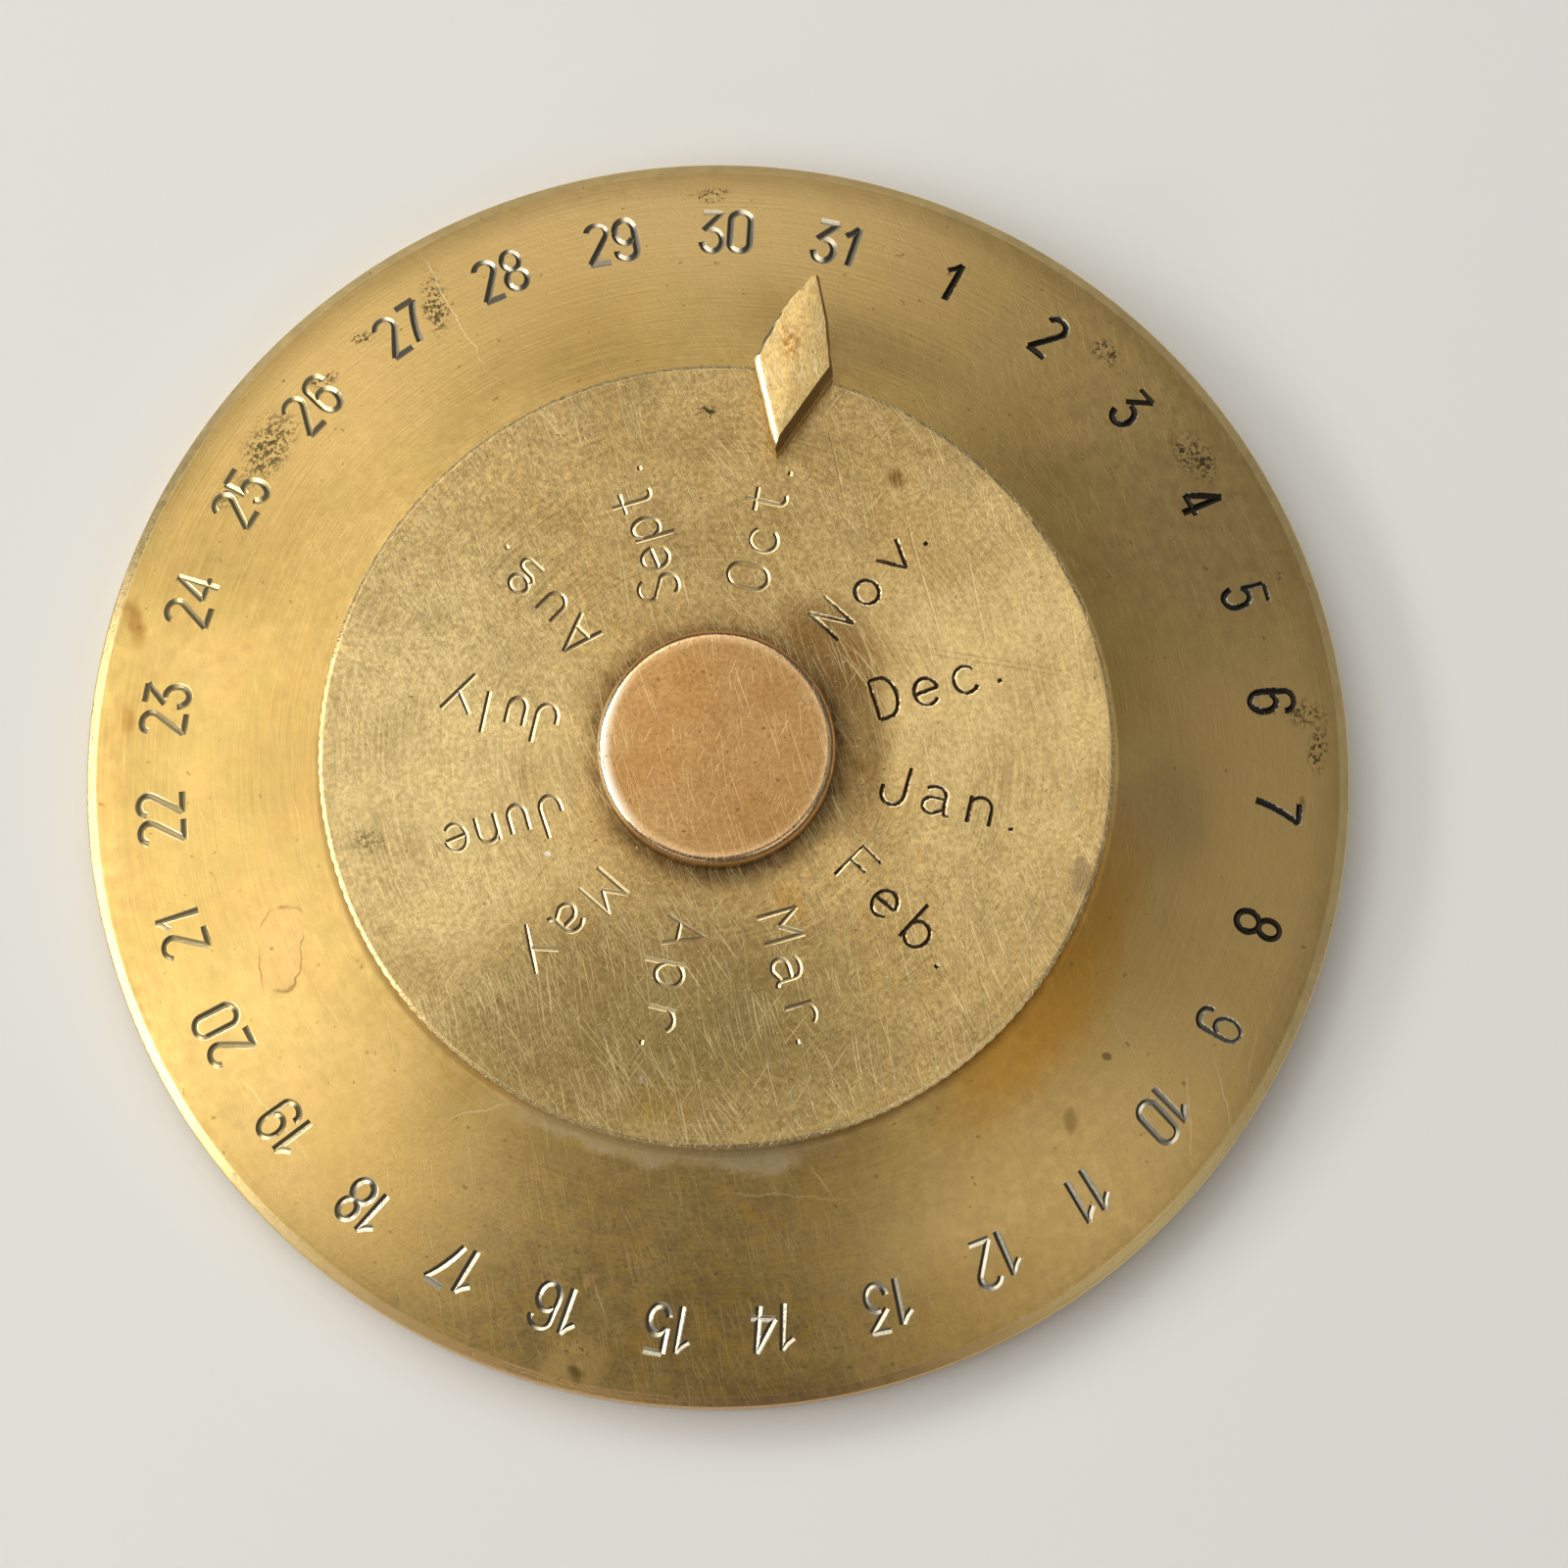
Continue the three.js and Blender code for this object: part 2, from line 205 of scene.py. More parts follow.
def grid(size, turn=0, place=(0, 0), start=None, seed=0):
    """Coordinates in features of a size in millimetres, turned and centred on a place."""
    return add("Mapping", {
        "Vector": start or object_place(),
        "Location": (place[0] * MM, place[1] * MM, -7.3 * seed * size[2] * MM),
        "Rotation": (0, 0, math.radians(turn)),
        "Scale": [length * MM for length in size],
    }, vector_type="TEXTURE")


def clouds(size, low=0.35, high=0.65, detail=2.0, roughness=0.55, seed=0, at=None):
    """Noise with spots of one size, or one to each feature of the coordinates it is given."""
    raw = add("TexNoise", {"Vector": at or grid((size, size, size), seed=seed), "Scale": 1.0,
                           "Detail": detail, "Roughness": roughness})
    return add("MapRange", {"Value": raw, "From Min": low, "From Max": high})


def around_axis(start=None):
    """The flat vector from the axis, and its length."""
    flat = add("Mapping", {"Vector": start or object_place(), "Scale": (1, 1, 0)})
    return flat, add("VectorMath", {0: flat}, output="Value", operation="LENGTH")


def lathe_lines(spacing, arcs, seed, detail=1.0):
    """Fine rings round the axis, which fade in and out along each turn."""
    flat, radius = around_axis()
    rings = add("Math", {0: radius, 1: 1 / (spacing * MM)}, operation="MULTIPLY")
    way = add("VectorMath", {0: flat}, operation="NORMALIZE")
    split = add("Mapping", {"Vector": way, "Location": (seed, 0, 0), "Scale": (arcs, arcs, 0)})
    at = add("VectorMath", {0: split, 1: add("CombineXYZ", {"Z": rings})}, operation="ADD")
    return clouds(1, 0.3, 0.7, detail, at=at)


def scratches(width, length, turn, share, seed, start):
    """Thin scratches in one direction, which end in points. The share is how much they cover."""
    streaks = grid((width, length, length), turn, start=start, seed=seed)
    return clouds(1, 0.75 - share, 0.80 - share, detail=0.0, at=streaks)


def patch(start, place, size, turn=0, soft=0.5, boxy=False):
    """A spot that is 1 inside and falls off to 0 past its half width and half height."""
    spot = grid((size[0], size[1], 1000), turn, place, start)
    if boxy:
        spot = add("VectorMath", {0: spot, 1: spot}, operation="MULTIPLY")
    away = add("VectorMath", {0: spot}, output="Value", operation="LENGTH")
    return add("MapRange", {"Value": away, "From Min": 1 + soft, "From Max": 1 - soft},
               interpolation_type="SMOOTHSTEP")


def ring_of(inner, outer, soft, start=None):
    """1 between two radii about the axis, with soft borders."""
    radius = around_axis(start)[1]
    borders = [add("MapRange", {"Value": radius, "From Min": (border - side * soft) * MM,
                                "From Max": (border + side * soft) * MM},
                   interpolation_type="SMOOTHSTEP") for border, side in ((inner, 1), (outer, -1))]
    return times(*borders)


def wandering(size, amount, seed=0):
    """Object coordinates pushed about by up to the amount, which makes borders ragged and lines bend."""
    drift = add("TexNoise", {"Vector": grid((size, size, size), seed=seed), "Scale": 1.0,
                             "Detail": 2.0}, output="Color")
    centred = add("VectorMath", {0: drift, 1: (0.5, 0.5, 0.5)}, operation="SUBTRACT")
    pushed = add("VectorMath", {0: centred, "Scale": 2 * amount * MM}, operation="SCALE")
    return add("VectorMath", {0: object_place(), 1: pushed}, operation="ADD")


def times(*factors):
    """The product of several masks or shares."""
    result = factors[0]
    for factor in factors[1:]:
        result = add("Math", {0: result, 1: factor}, operation="MULTIPLY")
    return result


def joined(masks):
    """The strongest of several masks."""
    result = masks[0]
    for mask in masks[1:]:
        result = add("Math", {0: result, 1: mask}, operation="MAXIMUM")
    return result


def border_of(mask):
    """A thin line where a mask passes through one half."""
    rest = add("Math", {0: 1.0, 1: mask}, operation="SUBTRACT")
    return times(mask, rest, 4.0)


def layered(ground, layers):
    """Lays tints over the ground, one after the other. Each layer is a mask, a strength and a tint."""
    for mask, strength, tint in layers:
        ground = add("Mix", {"Factor": times(mask, strength), 6: ground, 7: colour(tint)}, output=2,
                     data_type="RGBA")
    return ground


def summed(start, parts):
    """A number plus several masks, each times its signed weight."""
    for mask, weight in parts:
        start = add("Math", {0: mask, 1: weight, 2: start}, operation="MULTIPLY_ADD")
    return start


def surface(tint, roughness, heights, tallest, metallic=1.0, brushing=0.0):
    """The heights are masks with weights, of which 1 stands for the tallest, in millimetres. Brushing
    spreads the gloss across the traces of the lathe, which run round the axis."""
    bump = add("Bump", {"Height": summed(0, heights), "Distance": tallest * MM, "Strength": 1.0})
    inputs = {"Base Color": tint, "Roughness": summed(*roughness), "Normal": bump, "Metallic": metallic}
    if brushing:
        inputs |= {"Anisotropic": brushing, "Anisotropic Rotation": 0.25,
                   "Tangent": add("Tangent", direction_type="RADIAL", axis="Z")}
    return add("BsdfPrincipled", inputs)


def dress(piece, *finishes):
    piece.data.materials.clear()
    for finish in finishes:
        piece.data.materials.append(finish)


# %% [markdown]
# ## Turning a profile
# Base, disc, knob and felt were all turned on a lathe, so each starts as a half profile that is spun
# about Z. A profile is a short list of corners, each with its radius, its height and how far it is
# rounded off. Rounding the corner before the spin, by a bevel on the profile's own point, gives the
# same smooth edge all the way round. No edge on a real turned piece is perfectly sharp.

# %% Helpers for turned pieces
sharp_above = 18
weld_distance = 0.0005


def spin_profile(corners, steps, closed=True, rounding_segments=5):
    """A turned solid from (radius, height[, rounding]) corners in millimetres."""
    bm = bmesh.new()
    points = [bm.verts.new((corner[0] * MM, 0, corner[1] * MM)) for corner in corners]
    pairs = list(zip(points, points[1:])) + ([(points[-1], points[0])] if closed else [])
    for first, second in pairs:
        bm.edges.new((first, second))
    for point, corner in zip(points, corners):
        if len(corner) > 2:
            bmesh.ops.bevel(bm, geom=[point], offset=corner[2] * MM, segments=rounding_segments,
                            profile=0.5, affect="VERTICES", material=-1)
    bmesh.ops.spin(bm, geom=bm.verts[:] + bm.edges[:], axis=(0, 0, 1), cent=(0, 0, 0),
                   angle=2 * math.pi, steps=steps, use_merge=True)
    bmesh.ops.remove_doubles(bm, verts=bm.verts, dist=weld_distance * MM)
    bmesh.ops.recalc_face_normals(bm, faces=bm.faces)
    return bm


def smooth(mesh):
    mesh.shade_smooth()
    mesh.set_sharp_from_angle(angle=math.radians(sharp_above))


def piece_from(bm, name, body, replaced):
    piece = placed(name, mesh_of(bm, name))
    smooth(piece.data)
    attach(piece, body)
    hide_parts(replaced)
    return piece


def node_sizes(node):
    low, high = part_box(node)
    return high.x / MM, low.z / MM, high.z / MM


base_radius, base_low_z, platform_z = node_sizes("base_plate")
disc_radius, disc_low_z, disc_top_z = node_sizes("month_disc")
knob_radius, knob_low_z, knob_top_z = node_sizes("knob")
felt_radius, felt_low_z, felt_top_z = node_sizes("felt_pad")
print("base", round(base_radius, 2), "disc", round(disc_radius, 2), "knob", round(knob_radius, 2))

# %% [markdown]
# ## The base
# The base is one block of brass: a narrow upright edge, a small facet that broke its corner, a broad
# cone for the dates, a flat platform under the disc, and a well below for the bearing. Two extra
# rings on the cone bound the band where the dates are punched, so that the cuts stay within short
# faces and the rest of the cone stays clean. Two more on the facet keep its shading flat, so that it
# catches the light as one bright line.

# %% Base blank
rim_z = 5.5
rim_facet_width, rim_facet_slope = 0.95, math.radians(29.5)
rim_facet_supports = (0.2, 0.92)
rim_rounding = 0.12
foot_chamfer = 0.6
platform_radius = 37.6
edge_rounding = 0.15
bore_radius = 5.05
well_radius, well_top_z = 7.9, 10.6
felt_recess_radius = 54.8
turning_steps = 360
date_band = (48.9, 56.3)

cone_slope = math.atan2(platform_z - rim_z, base_radius - platform_radius)


def cone_z(radius):
    """The height of the untouched cone."""
    return rim_z + (base_radius - radius) * math.tan(cone_slope)


def facet_corner(share):
    """A point on the rim's facet, from its outer corner at share 0 to its inner one at share 1."""
    inward = rim_facet_width * share
    fall = (rim_facet_width - inward) * math.tan(rim_facet_slope)
    return base_radius - inward, cone_z(base_radius - rim_facet_width) - fall


base_profile = [
    (bore_radius, well_top_z),
    (well_radius, well_top_z),
    (well_radius, felt_top_z),
    (felt_recess_radius, felt_top_z),
    (felt_recess_radius, base_low_z, edge_rounding),
    (base_radius - foot_chamfer, base_low_z, edge_rounding),
    (base_radius, base_low_z + foot_chamfer, edge_rounding),
    (*facet_corner(0), rim_rounding),
    *(facet_corner(share) for share in rim_facet_supports),
    facet_corner(1),
    (date_band[1], cone_z(date_band[1])),
    (date_band[0], cone_z(date_band[0])),
    (platform_radius, platform_z, edge_rounding),
    (bore_radius, platform_z),
]
base = piece_from(spin_profile(base_profile, turning_steps), "turned_base", "base",
                  "base_plate")
print("cone slope", round(math.degrees(cone_slope), 2), "degrees,", len(base.data.polygons), "faces")

# %% [markdown]
# ## Figures and letters
# Dates and months were struck with hand punches, one blow for each figure or letter. Such punches
# have single strokes of even width, so each sign is drawn here as the middle lines of its strokes,
# in millimetres about its own foot, and a V-shaped groove follows each line. No font is needed, and
# the narrow figures with their flat-topped 3 stay as plain as the real ones.

# %% Strokes of the figures
figure_height = 4.4
arc_step_degrees = 15


def arc(middle_x, middle_y, half_width, half_height, start, end):
    """Points on an oval, from one angle to another in degrees."""
    count = max(2, round(abs(end - start) / arc_step_degrees))
    angles = [math.radians(start + (end - start) * step / count) for step in range(count + 1)]
    return [(middle_x + half_width * math.cos(a), middle_y + half_height * math.sin(a)) for a in angles]


def bend(start, pull, end, count=6):
    """Points on a curve that is pulled towards a point beside it."""
    shares = [step / count for step in range(count + 1)]
    return [tuple((1 - t) ** 2 * s + 2 * t * (1 - t) * p + t * t * e for s, p, e in zip(start, pull, end))
            for t in shares]


figures = {
    "0": [arc(0, 3.5, 0.86, 0.9, 0, 180) + arc(0, 0.9, 0.86, 0.9, 180, 360) + [(0.86, 3.5)]],
    "1": [[(0.32, 4.4), (0.32, 0)], [(0.32, 4.36), (-0.1, 3.68), (-0.62, 3.16)]],
    "2": [arc(-0.02, 3.45, 0.86, 0.95, 168, -32) + [(-0.84, 0.05)], [(-0.9, 0), (0.88, 0)]],
    "3": [[(-0.8, 4.4), (0.82, 4.4)], [(0.82, 4.4), (-0.74, 2.35)], arc(0, 1.22, 0.86, 1.22, 104, -172)],
    "4": [[(0.36, 4.4), (-0.98, 1.12)], [(-1.04, 1.1), (1.0, 1.14)], [(0.38, 4.4), (0.36, 0)]],
    "5": [[(-0.72, 4.4), (0.84, 4.4)], [(-0.74, 4.4), (-0.72, 2.0)],
          arc(0.02, 1.32, 0.84, 1.32, 150, -164)],
    "6": [arc(0, 3.55, 0.86, 0.85, -12, 180) + arc(0, 1.32, 0.86, 1.32, 180, 360),
          arc(0, 1.32, 0.86, 1.32, 0, 140)],
    "7": [[(-0.86, 4.4), (0.88, 4.4)], bend((0.86, 4.36), (-0.2, 2.5), (-0.62, 0))],
    "8": [arc(0, 3.34, 0.74, 1.06, 0, 360), arc(0, 1.14, 0.86, 1.14, 0, 360)],
}
figures["9"] = [[(-x, figure_height - y) for x, y in stroke] for stroke in figures["6"]]
print("strokes in a set of figures:", sum(len(strokes) for strokes in figures.values()))

# %% Strokes of the letters
letters = {
    "A": [[(0, 3.55), (-1.22, 0)], [(0, 3.55), (1.22, 0)], [(-0.85, 1.15), (0.85, 1.15)]],
    "D": [[(-1.0, 3.55), (-1.0, 0)],
          [(-1.0, 3.55)] + arc(-0.1, 1.78, 1.12, 1.77, 90, -90) + [(-1.0, 0)]],
    "F": [[(-1.0, 3.55), (-1.0, 0)], [(-1.0, 3.55), (1.15, 3.5)], [(-1.0, 1.95), (0.75, 2.0)]],
    "J": [[(0.95, 3.55)] + arc(-0.05, 1.0, 1.0, 1.0, 0, -180) + [(-1.05, 1.6)]],
    "M": [[(-1.2, 3.55), (-1.2, 0)], [(1.2, 3.55), (1.2, 0)],
          [(-1.2, 3.5), (0, 1.65)], [(1.2, 3.5), (0, 1.65)]],
    "N": [[(-1.0, 3.55), (-1.0, 0)], [(1.0, 3.55), (1.0, 0)], [(-1.0, 3.5), (1.0, 0.05)]],
    "O": [arc(0, 2.45, 1.05, 1.1, 0, 180) + arc(0, 1.1, 1.05, 1.1, 180, 360) + [(1.05, 2.45)]],
    "S": [arc(0, 2.66, 1.02, 0.88, 22, 205) + arc(0.02, 0.9, 1.04, 0.9, 28, -155)],
    "a": [arc(-0.2, 1.72, 0.92, 0.68, 150, 0) + [(0.72, 0.6)] + arc(1.12, 0.55, 0.4, 0.5, 180, 285),
          [(0.7, 1.42)] + arc(-0.3, 0.72, 0.85, 0.72, 85, 275) + [(0.7, 0.5)]],
    "b": [[(-1.02, 3.7), (-1.02, 0)], arc(-0.02, 1.16, 1.05, 1.16, 155, -155)],
    "c": [arc(0.02, 1.18, 1.05, 1.18, 38, 322)],
    "e": [arc(0, 1.18, 1.05, 1.18, 6, 318), [(-1.0, 1.15), (1.04, 1.3)]],
    "g": [arc(-0.05, 1.8, 0.86, 0.74, 0, 360),
          [(-0.62, 1.28), (-0.86, 0.92), (-0.5, 0.62), (0.45, 0.56)] + arc(0.5, 0.05, 0.55, 0.5, 88, -90)
          + [(-0.85, -0.46)]],
    "l": [[(0, 3.7), (0, 0)]],
    "n": [[(-0.95, 2.4), (-0.95, 0)], arc(0, 1.45, 0.95, 0.92, 165, 0) + [(0.95, 0)]],
    "o": [arc(0, 1.08, 1.02, 1.08, 0, 360)],
    "p": [[(-0.98, 2.4), (-0.98, -1.1)], arc(0.02, 1.2, 1.02, 1.18, 155, -155)],
    "r": [[(-0.85, 2.4), (-0.85, 0)], arc(0.12, 1.5, 0.97, 0.92, 170, 32)],
    "t": [[(-0.12, 3.5), (-0.12, 0.6)] + arc(0.48, 0.58, 0.6, 0.58, 180, 305), [(-1.1, 2.5), (1.05, 2.62)]],
    "u": [[(-0.85, 2.4)] + arc(0, 0.88, 0.85, 0.88, 180, 360) + [(0.85, 2.4)]],
    "v": [[(-1.28, 2.4), (0, 0)], [(1.28, 2.4), (0, 0)]],
    "y": [[(-1.42, 2.45), (0.1, 0.55)], [(1.42, 2.45), (-1.15, -1.1)]],
    ".": [[(-0.2, 0.22), (0.2, 0.22)]],
}
print("letters:", "".join(sorted(letters)))

# %% [markdown]
# ## Punching
# A struck groove is cut with a Boolean: a tube follows each stroke, half sunk in the surface, and is
# taken away from the blank. The edge of a punch is a blunt wedge, so the tube has a square section
# that stands on a corner and is pressed flat, and it leaves a groove with two sloping walls. One wall
# catches the light and the other stays dark, which is what makes the figures readable. Where two
# strokes of a sign cross, their tubes would overlap, so a sign's first strokes are cut in one pass, its
# second strokes in the next, and so on. A hand-held punch never stands quite true, and a small seeded
# lean, turn and drift give each sign its own depth.

# %% Helpers for punching
class Punching:
    """Gathers the strokes of many signs, sorted into passes, and cuts them out of a piece."""

    def __init__(self, half_width, depth, seed):
        self.half_width, self.depth = half_width, depth
        self.passes = []
        self.chance = random.Random(seed)

    def strike(self, strokes, place, right, up, scale=(1, 1), lean=0):
        """Places one sign, leaned clockwise by some degrees. Right and up span the surface. Like a
        punch in the hand, it drifts sideways and in depth by hundredths of a millimetre and tips."""
        spread = self.chance.uniform
        axes = Matrix((right, up, right.cross(up))).transposed().to_4x4()
        drift = Matrix.Translation((spread(-0.06, 0.06), spread(-0.06, 0.06), spread(-0.03, 0.02)))
        turn = Matrix.Rotation(spread(-0.03, 0.03) - math.radians(lean), 4, "Z")
        tip = Matrix.Rotation(spread(-0.015, 0.015), 4, "X") @ Matrix.Rotation(spread(-0.02, 0.02), 4, "Y")
        stance = Matrix.Translation(place) @ axes @ drift @ turn @ tip
        for index, stroke in enumerate(strokes):
            if index == len(self.passes):
                self.passes.append([])
            points = [Vector((x * scale[0], y * scale[1], 0)) for x, y in stroke]
            self.passes[index].append((points, stance))

    def wedge(self, points):
        """The mesh of one stroke, flat on the plane z = 0, in millimetres."""
        curve = bpy.data.curves.new("wedge", "CURVE")
        curve.dimensions = "3D"
        curve.bevel_depth = self.half_width
        curve.bevel_resolution = 0
        curve.use_fill_caps = True
        closed = (points[0] - points[-1]).length < weld_distance
        points = points[:-1] if closed else points
        spline = curve.splines.new("POLY")
        spline.points.add(len(points) - 1)
        spline.use_cyclic_u = closed
        for spot, point in zip(spline.points, points):
            spot.co = (*point, 1)
        holder = bpy.data.objects.new("wedge", curve)
        mesh = bpy.data.meshes.new_from_object(holder)
        bpy.data.objects.remove(holder)
        mesh.transform(Matrix.Diagonal((1, 1, self.depth / self.half_width, 1)))
        return mesh

    def cut(self, piece):
        for strokes in self.passes:
            bm = bmesh.new()
            for points, stance in strokes:
                mesh = self.wedge(points)
                mesh.transform(Matrix.Scale(MM, 4) @ stance)
                bm.from_mesh(mesh)
                bpy.data.meshes.remove(mesh)
            bmesh.ops.remove_doubles(bm, verts=bm.verts, dist=weld_distance * MM)
            bmesh.ops.recalc_face_normals(bm, faces=bm.faces)
            solid = placed("punches", mesh_of(bm, "punches"))
            print("pass of", len(strokes), "strokes, open edges:", open_edges(solid.data))
            join_solid(piece, solid, "DIFFERENCE")


def join_solid(piece, solid, operation):
    """Takes the solid out of the piece, adds it, or keeps what they share. It uses the solid up."""
    boolean = piece.modifiers.new("cut", "BOOLEAN")
    boolean.operation, boolean.object, boolean.solver = operation, solid, "MANIFOLD"
    ready = piece.evaluated_get(bpy.context.evaluated_depsgraph_get())
    cut_mesh = bpy.data.meshes.new_from_object(ready)
    piece.modifiers.clear()
    cut_mesh.name = piece.name
    piece.data = cut_mesh
    smooth(cut_mesh)
    bpy.data.objects.remove(solid)


def open_edges(mesh):
    """A closed solid has none."""
    bm = bmesh.new()
    bm.from_mesh(mesh)
    count = sum(not edge.is_manifold for edge in bm.edges)
    bm.free()
    return count


# %% [markdown]
# ## The dates
# Each date stands with its top outwards, on the plane that touches the cone at its place. The dates
# are 360/31 degrees apart, and the list below says by how much each was struck off its even place.

# %% Strike the dates
date_radius = 52.84
date_ring_shift = Vector((0.15, -0.32, 0))
first_gap = 11.53
figure_scale = (1.12, 1.035)
figure_advance, narrow_advance = 2.75, 1.9
usual_lean, teen_lean = 2, 7
date_drift = [1.9, 2.2, 2.0, 2.4, 1.9, 1.7, 1.4, 1.8, 1.3, 0.2, -0.4, -0.4, -0.2, 0, -1.1, -1.2,
              -1.9, -2.3, -2.6, -2.5, -2.9, -2.2, -2.5, -2.2, -2.0, -1.2, -0.3, -0.2, 0.3, 0.8, 0.7]
date_count = len(date_drift)

dates = Punching(half_width=0.38, depth=0.21, seed=31)
for date, drift in enumerate(date_drift, start=1):
    text = str(date)
    advances = [narrow_advance if sign == "1" else figure_advance for sign in text]
    sideways = -sum(advances) / 2
    lean = teen_lean if 10 <= date < 20 else usual_lean
    for sign, advance in zip(text, advances):
        sideways += advance / 2
        azimuth = first_gap + date * 360 / date_count + drift + math.degrees(sideways / date_radius)
        sideways += advance / 2
        outward = compass(azimuth)
        downhill = outward * math.cos(cone_slope) - Vector((0, 0, math.sin(cone_slope)))
        struck_radius = date_radius + date_ring_shift.dot(outward)
        middle = outward * struck_radius + Vector((0, 0, cone_z(struck_radius)))
        foot = middle - downhill * figure_height * figure_scale[1] / 2
        dates.strike(figures[sign], foot, compass(azimuth + 90), downhill, figure_scale, lean)
dates.cut(base)
print("base after the dates:", len(base.data.polygons), "faces, open edges:", open_edges(base.data))

# %% [markdown]
# ## The month disc
# The disc's edge is milled all round into small rounded teeth, and its top edge is chamfered, which
# gives the scalloped line that the light picks out. The rim is spun with several steps to a tooth and
# then drawn in between the teeth. The flat middle needs far fewer faces, so it is spun apart and
# the two are bridged.

# %% Month disc blank
tooth_count = 174
tooth_depth = 0.10
steps_per_tooth = 6
chamfer_width, chamfer_depth = 0.4, 0.23
disc_bore_radius = 2.58
milled_from_radius = 36.0
middle_radius = 34.0
middle_steps = 72

rim_profile = [
    (milled_from_radius, disc_low_z),
    (disc_radius, disc_low_z),
    (disc_radius, disc_top_z - chamfer_depth),
    (disc_radius - chamfer_width, disc_top_z, 0.1),
    (milled_from_radius, disc_top_z),
]
middle_profile = [
    (middle_radius, disc_low_z),
    (disc_bore_radius, disc_low_z),
    (disc_bore_radius, disc_top_z),
    (middle_radius, disc_top_z),
]


def radius_of(vert):
    return math.hypot(vert.co.x, vert.co.y) / MM


def loops_at(bm, height):
    """The two open rings at one height, one of the rim and one of the middle."""
    def on_ring(vert):
        return abs(vert.co.z / MM - height) < 0.01 and radius_of(vert) > middle_radius - 0.1
    return [edge for edge in bm.edges if edge.is_boundary and all(map(on_ring, edge.verts))]


disc_bm = spin_profile(rim_profile, tooth_count * steps_per_tooth, closed=False, rounding_segments=3)
for vert in disc_bm.verts:
    radius = radius_of(vert)
    if radius > disc_radius - 0.01:
        turn = math.atan2(vert.co.y, vert.co.x) * tooth_count
        drawn = radius - tooth_depth * (1 - abs(math.sin(turn / 2)))
        vert.co.x *= drawn / radius
        vert.co.y *= drawn / radius
        if vert.co.z / MM > disc_low_z + 0.1:
            past_chamfer = drawn - (disc_radius - chamfer_width)
            vert.co.z = (disc_top_z - past_chamfer * chamfer_depth / chamfer_width) * MM
middle_mesh = mesh_of(spin_profile(middle_profile, middle_steps, closed=False), "disc_middle")
disc_bm.from_mesh(middle_mesh)
bpy.data.meshes.remove(middle_mesh)
for height in (disc_low_z, disc_top_z):
    bmesh.ops.bridge_loops(disc_bm, edges=loops_at(disc_bm, height))
bmesh.ops.recalc_face_normals(disc_bm, faces=disc_bm.faces)
month_disc = piece_from(disc_bm, "milled_month_disc", "month_dial", "month_disc")
print("disc:", len(month_disc.data.polygons), "faces, open edges:", open_edges(month_disc.data))

# %% [markdown]
# ## The months
# The words stand like spokes and read outwards, a short one on every thirtieth degree. Each was set
# out by eye, so the list says for each how far its foot line lies off the spoke, and the radii of its
# first letter, its last letter and its full stop. Words of four letters were struck a little narrower.

# %% Strike the months
first_month_azimuth = 103
letter_scale, narrow_letter_scale = (1.08, 1.08), (0.96, 1.08)
words = {
    # how far the foot line lies off the spoke, then the radii of first letter, last letter and stop
    "Jan.": (-1.2, 16.9, 25.2, 28.3),
    "Feb.": (-1.05, 17.05, 25.3, 28.6),
    "Mar.": (-1.0, 17.3, 25.9, 28.2),
    "Apr.": (-0.8, 17.3, 25.5, 28.1),
    "May": (-0.65, 16.8, 25.1, 0),
    "June": (-0.65, 16.4, 25.5, 0),
    "July": (-0.92, 16.2, 24.7, 0),
    "Aug.": (-1.05, 17.0, 24.5, 27.7),
    "Sept.": (-1.2, 16.5, 25.2, 28.0),
    "Oct.": (-0.95, 16.95, 24.4, 27.4),
    "Nov.": (-1.05, 16.6, 24.9, 27.8),
    "Dec.": (-1.5, 16.65, 24.25, 27.2),
}

months = Punching(half_width=0.26, depth=0.15, seed=12)
for index, (word, (foot_line, first_radius, last_radius, stop_radius)) in enumerate(words.items()):
    azimuth = first_month_azimuth + index * 30
    outward, anticlockwise = compass(azimuth), compass(azimuth - 90)
    spelled = word.rstrip(".")
    gap = (last_radius - first_radius) / (len(spelled) - 1)
    scale = narrow_letter_scale if len(spelled) > 3 else letter_scale
    for place, sign in enumerate(word):
        radius = stop_radius if sign == "." else first_radius + place * gap
        foot = outward * radius + anticlockwise * foot_line + Vector((0, 0, disc_top_z))
        months.strike(letters[sign], foot, outward, anticlockwise, scale)
months.cut(month_disc)
print("disc after the months:", len(month_disc.data.polygons), "faces, open edges:",
      open_edges(month_disc.data))

# %% [markdown]
# ## Knob and pad
# The knob is a low bronze button with a well rounded edge, screwed down on the spindle. The pad is a
# disc of felt, let into the underside so that it stands a little proud and keeps the brass off the
# desk. Both are plain turned or punched rounds, so each is one spun profile.

# %% Knob and felt pad
knob_rounding = 0.85
knob_foot_rounding = 0.12
knob_hole_radius, knob_top_wall = 2.58, 1.1
felt_rounding = 0.35

knob = piece_from(spin_profile([
    (0, knob_top_z - knob_top_wall),
    (knob_hole_radius, knob_top_z - knob_top_wall),
    (knob_hole_radius, knob_low_z),
    (knob_radius, knob_low_z, knob_foot_rounding),
    (knob_radius, knob_top_z, knob_rounding),
    (0, knob_top_z),
], steps=240, closed=False, rounding_segments=8), "bronze_knob", "month_dial", "knob")
felt = piece_from(spin_profile([
    (0, felt_low_z),
    (felt_radius, felt_low_z, felt_rounding),
    (felt_radius, felt_top_z, felt_rounding),
    (0, felt_top_z),
], steps=240, closed=False), "felt_disc", "base", "felt_pad")
print("knob faces:", len(knob.data.polygons), "felt faces:", len(felt.data.polygons))

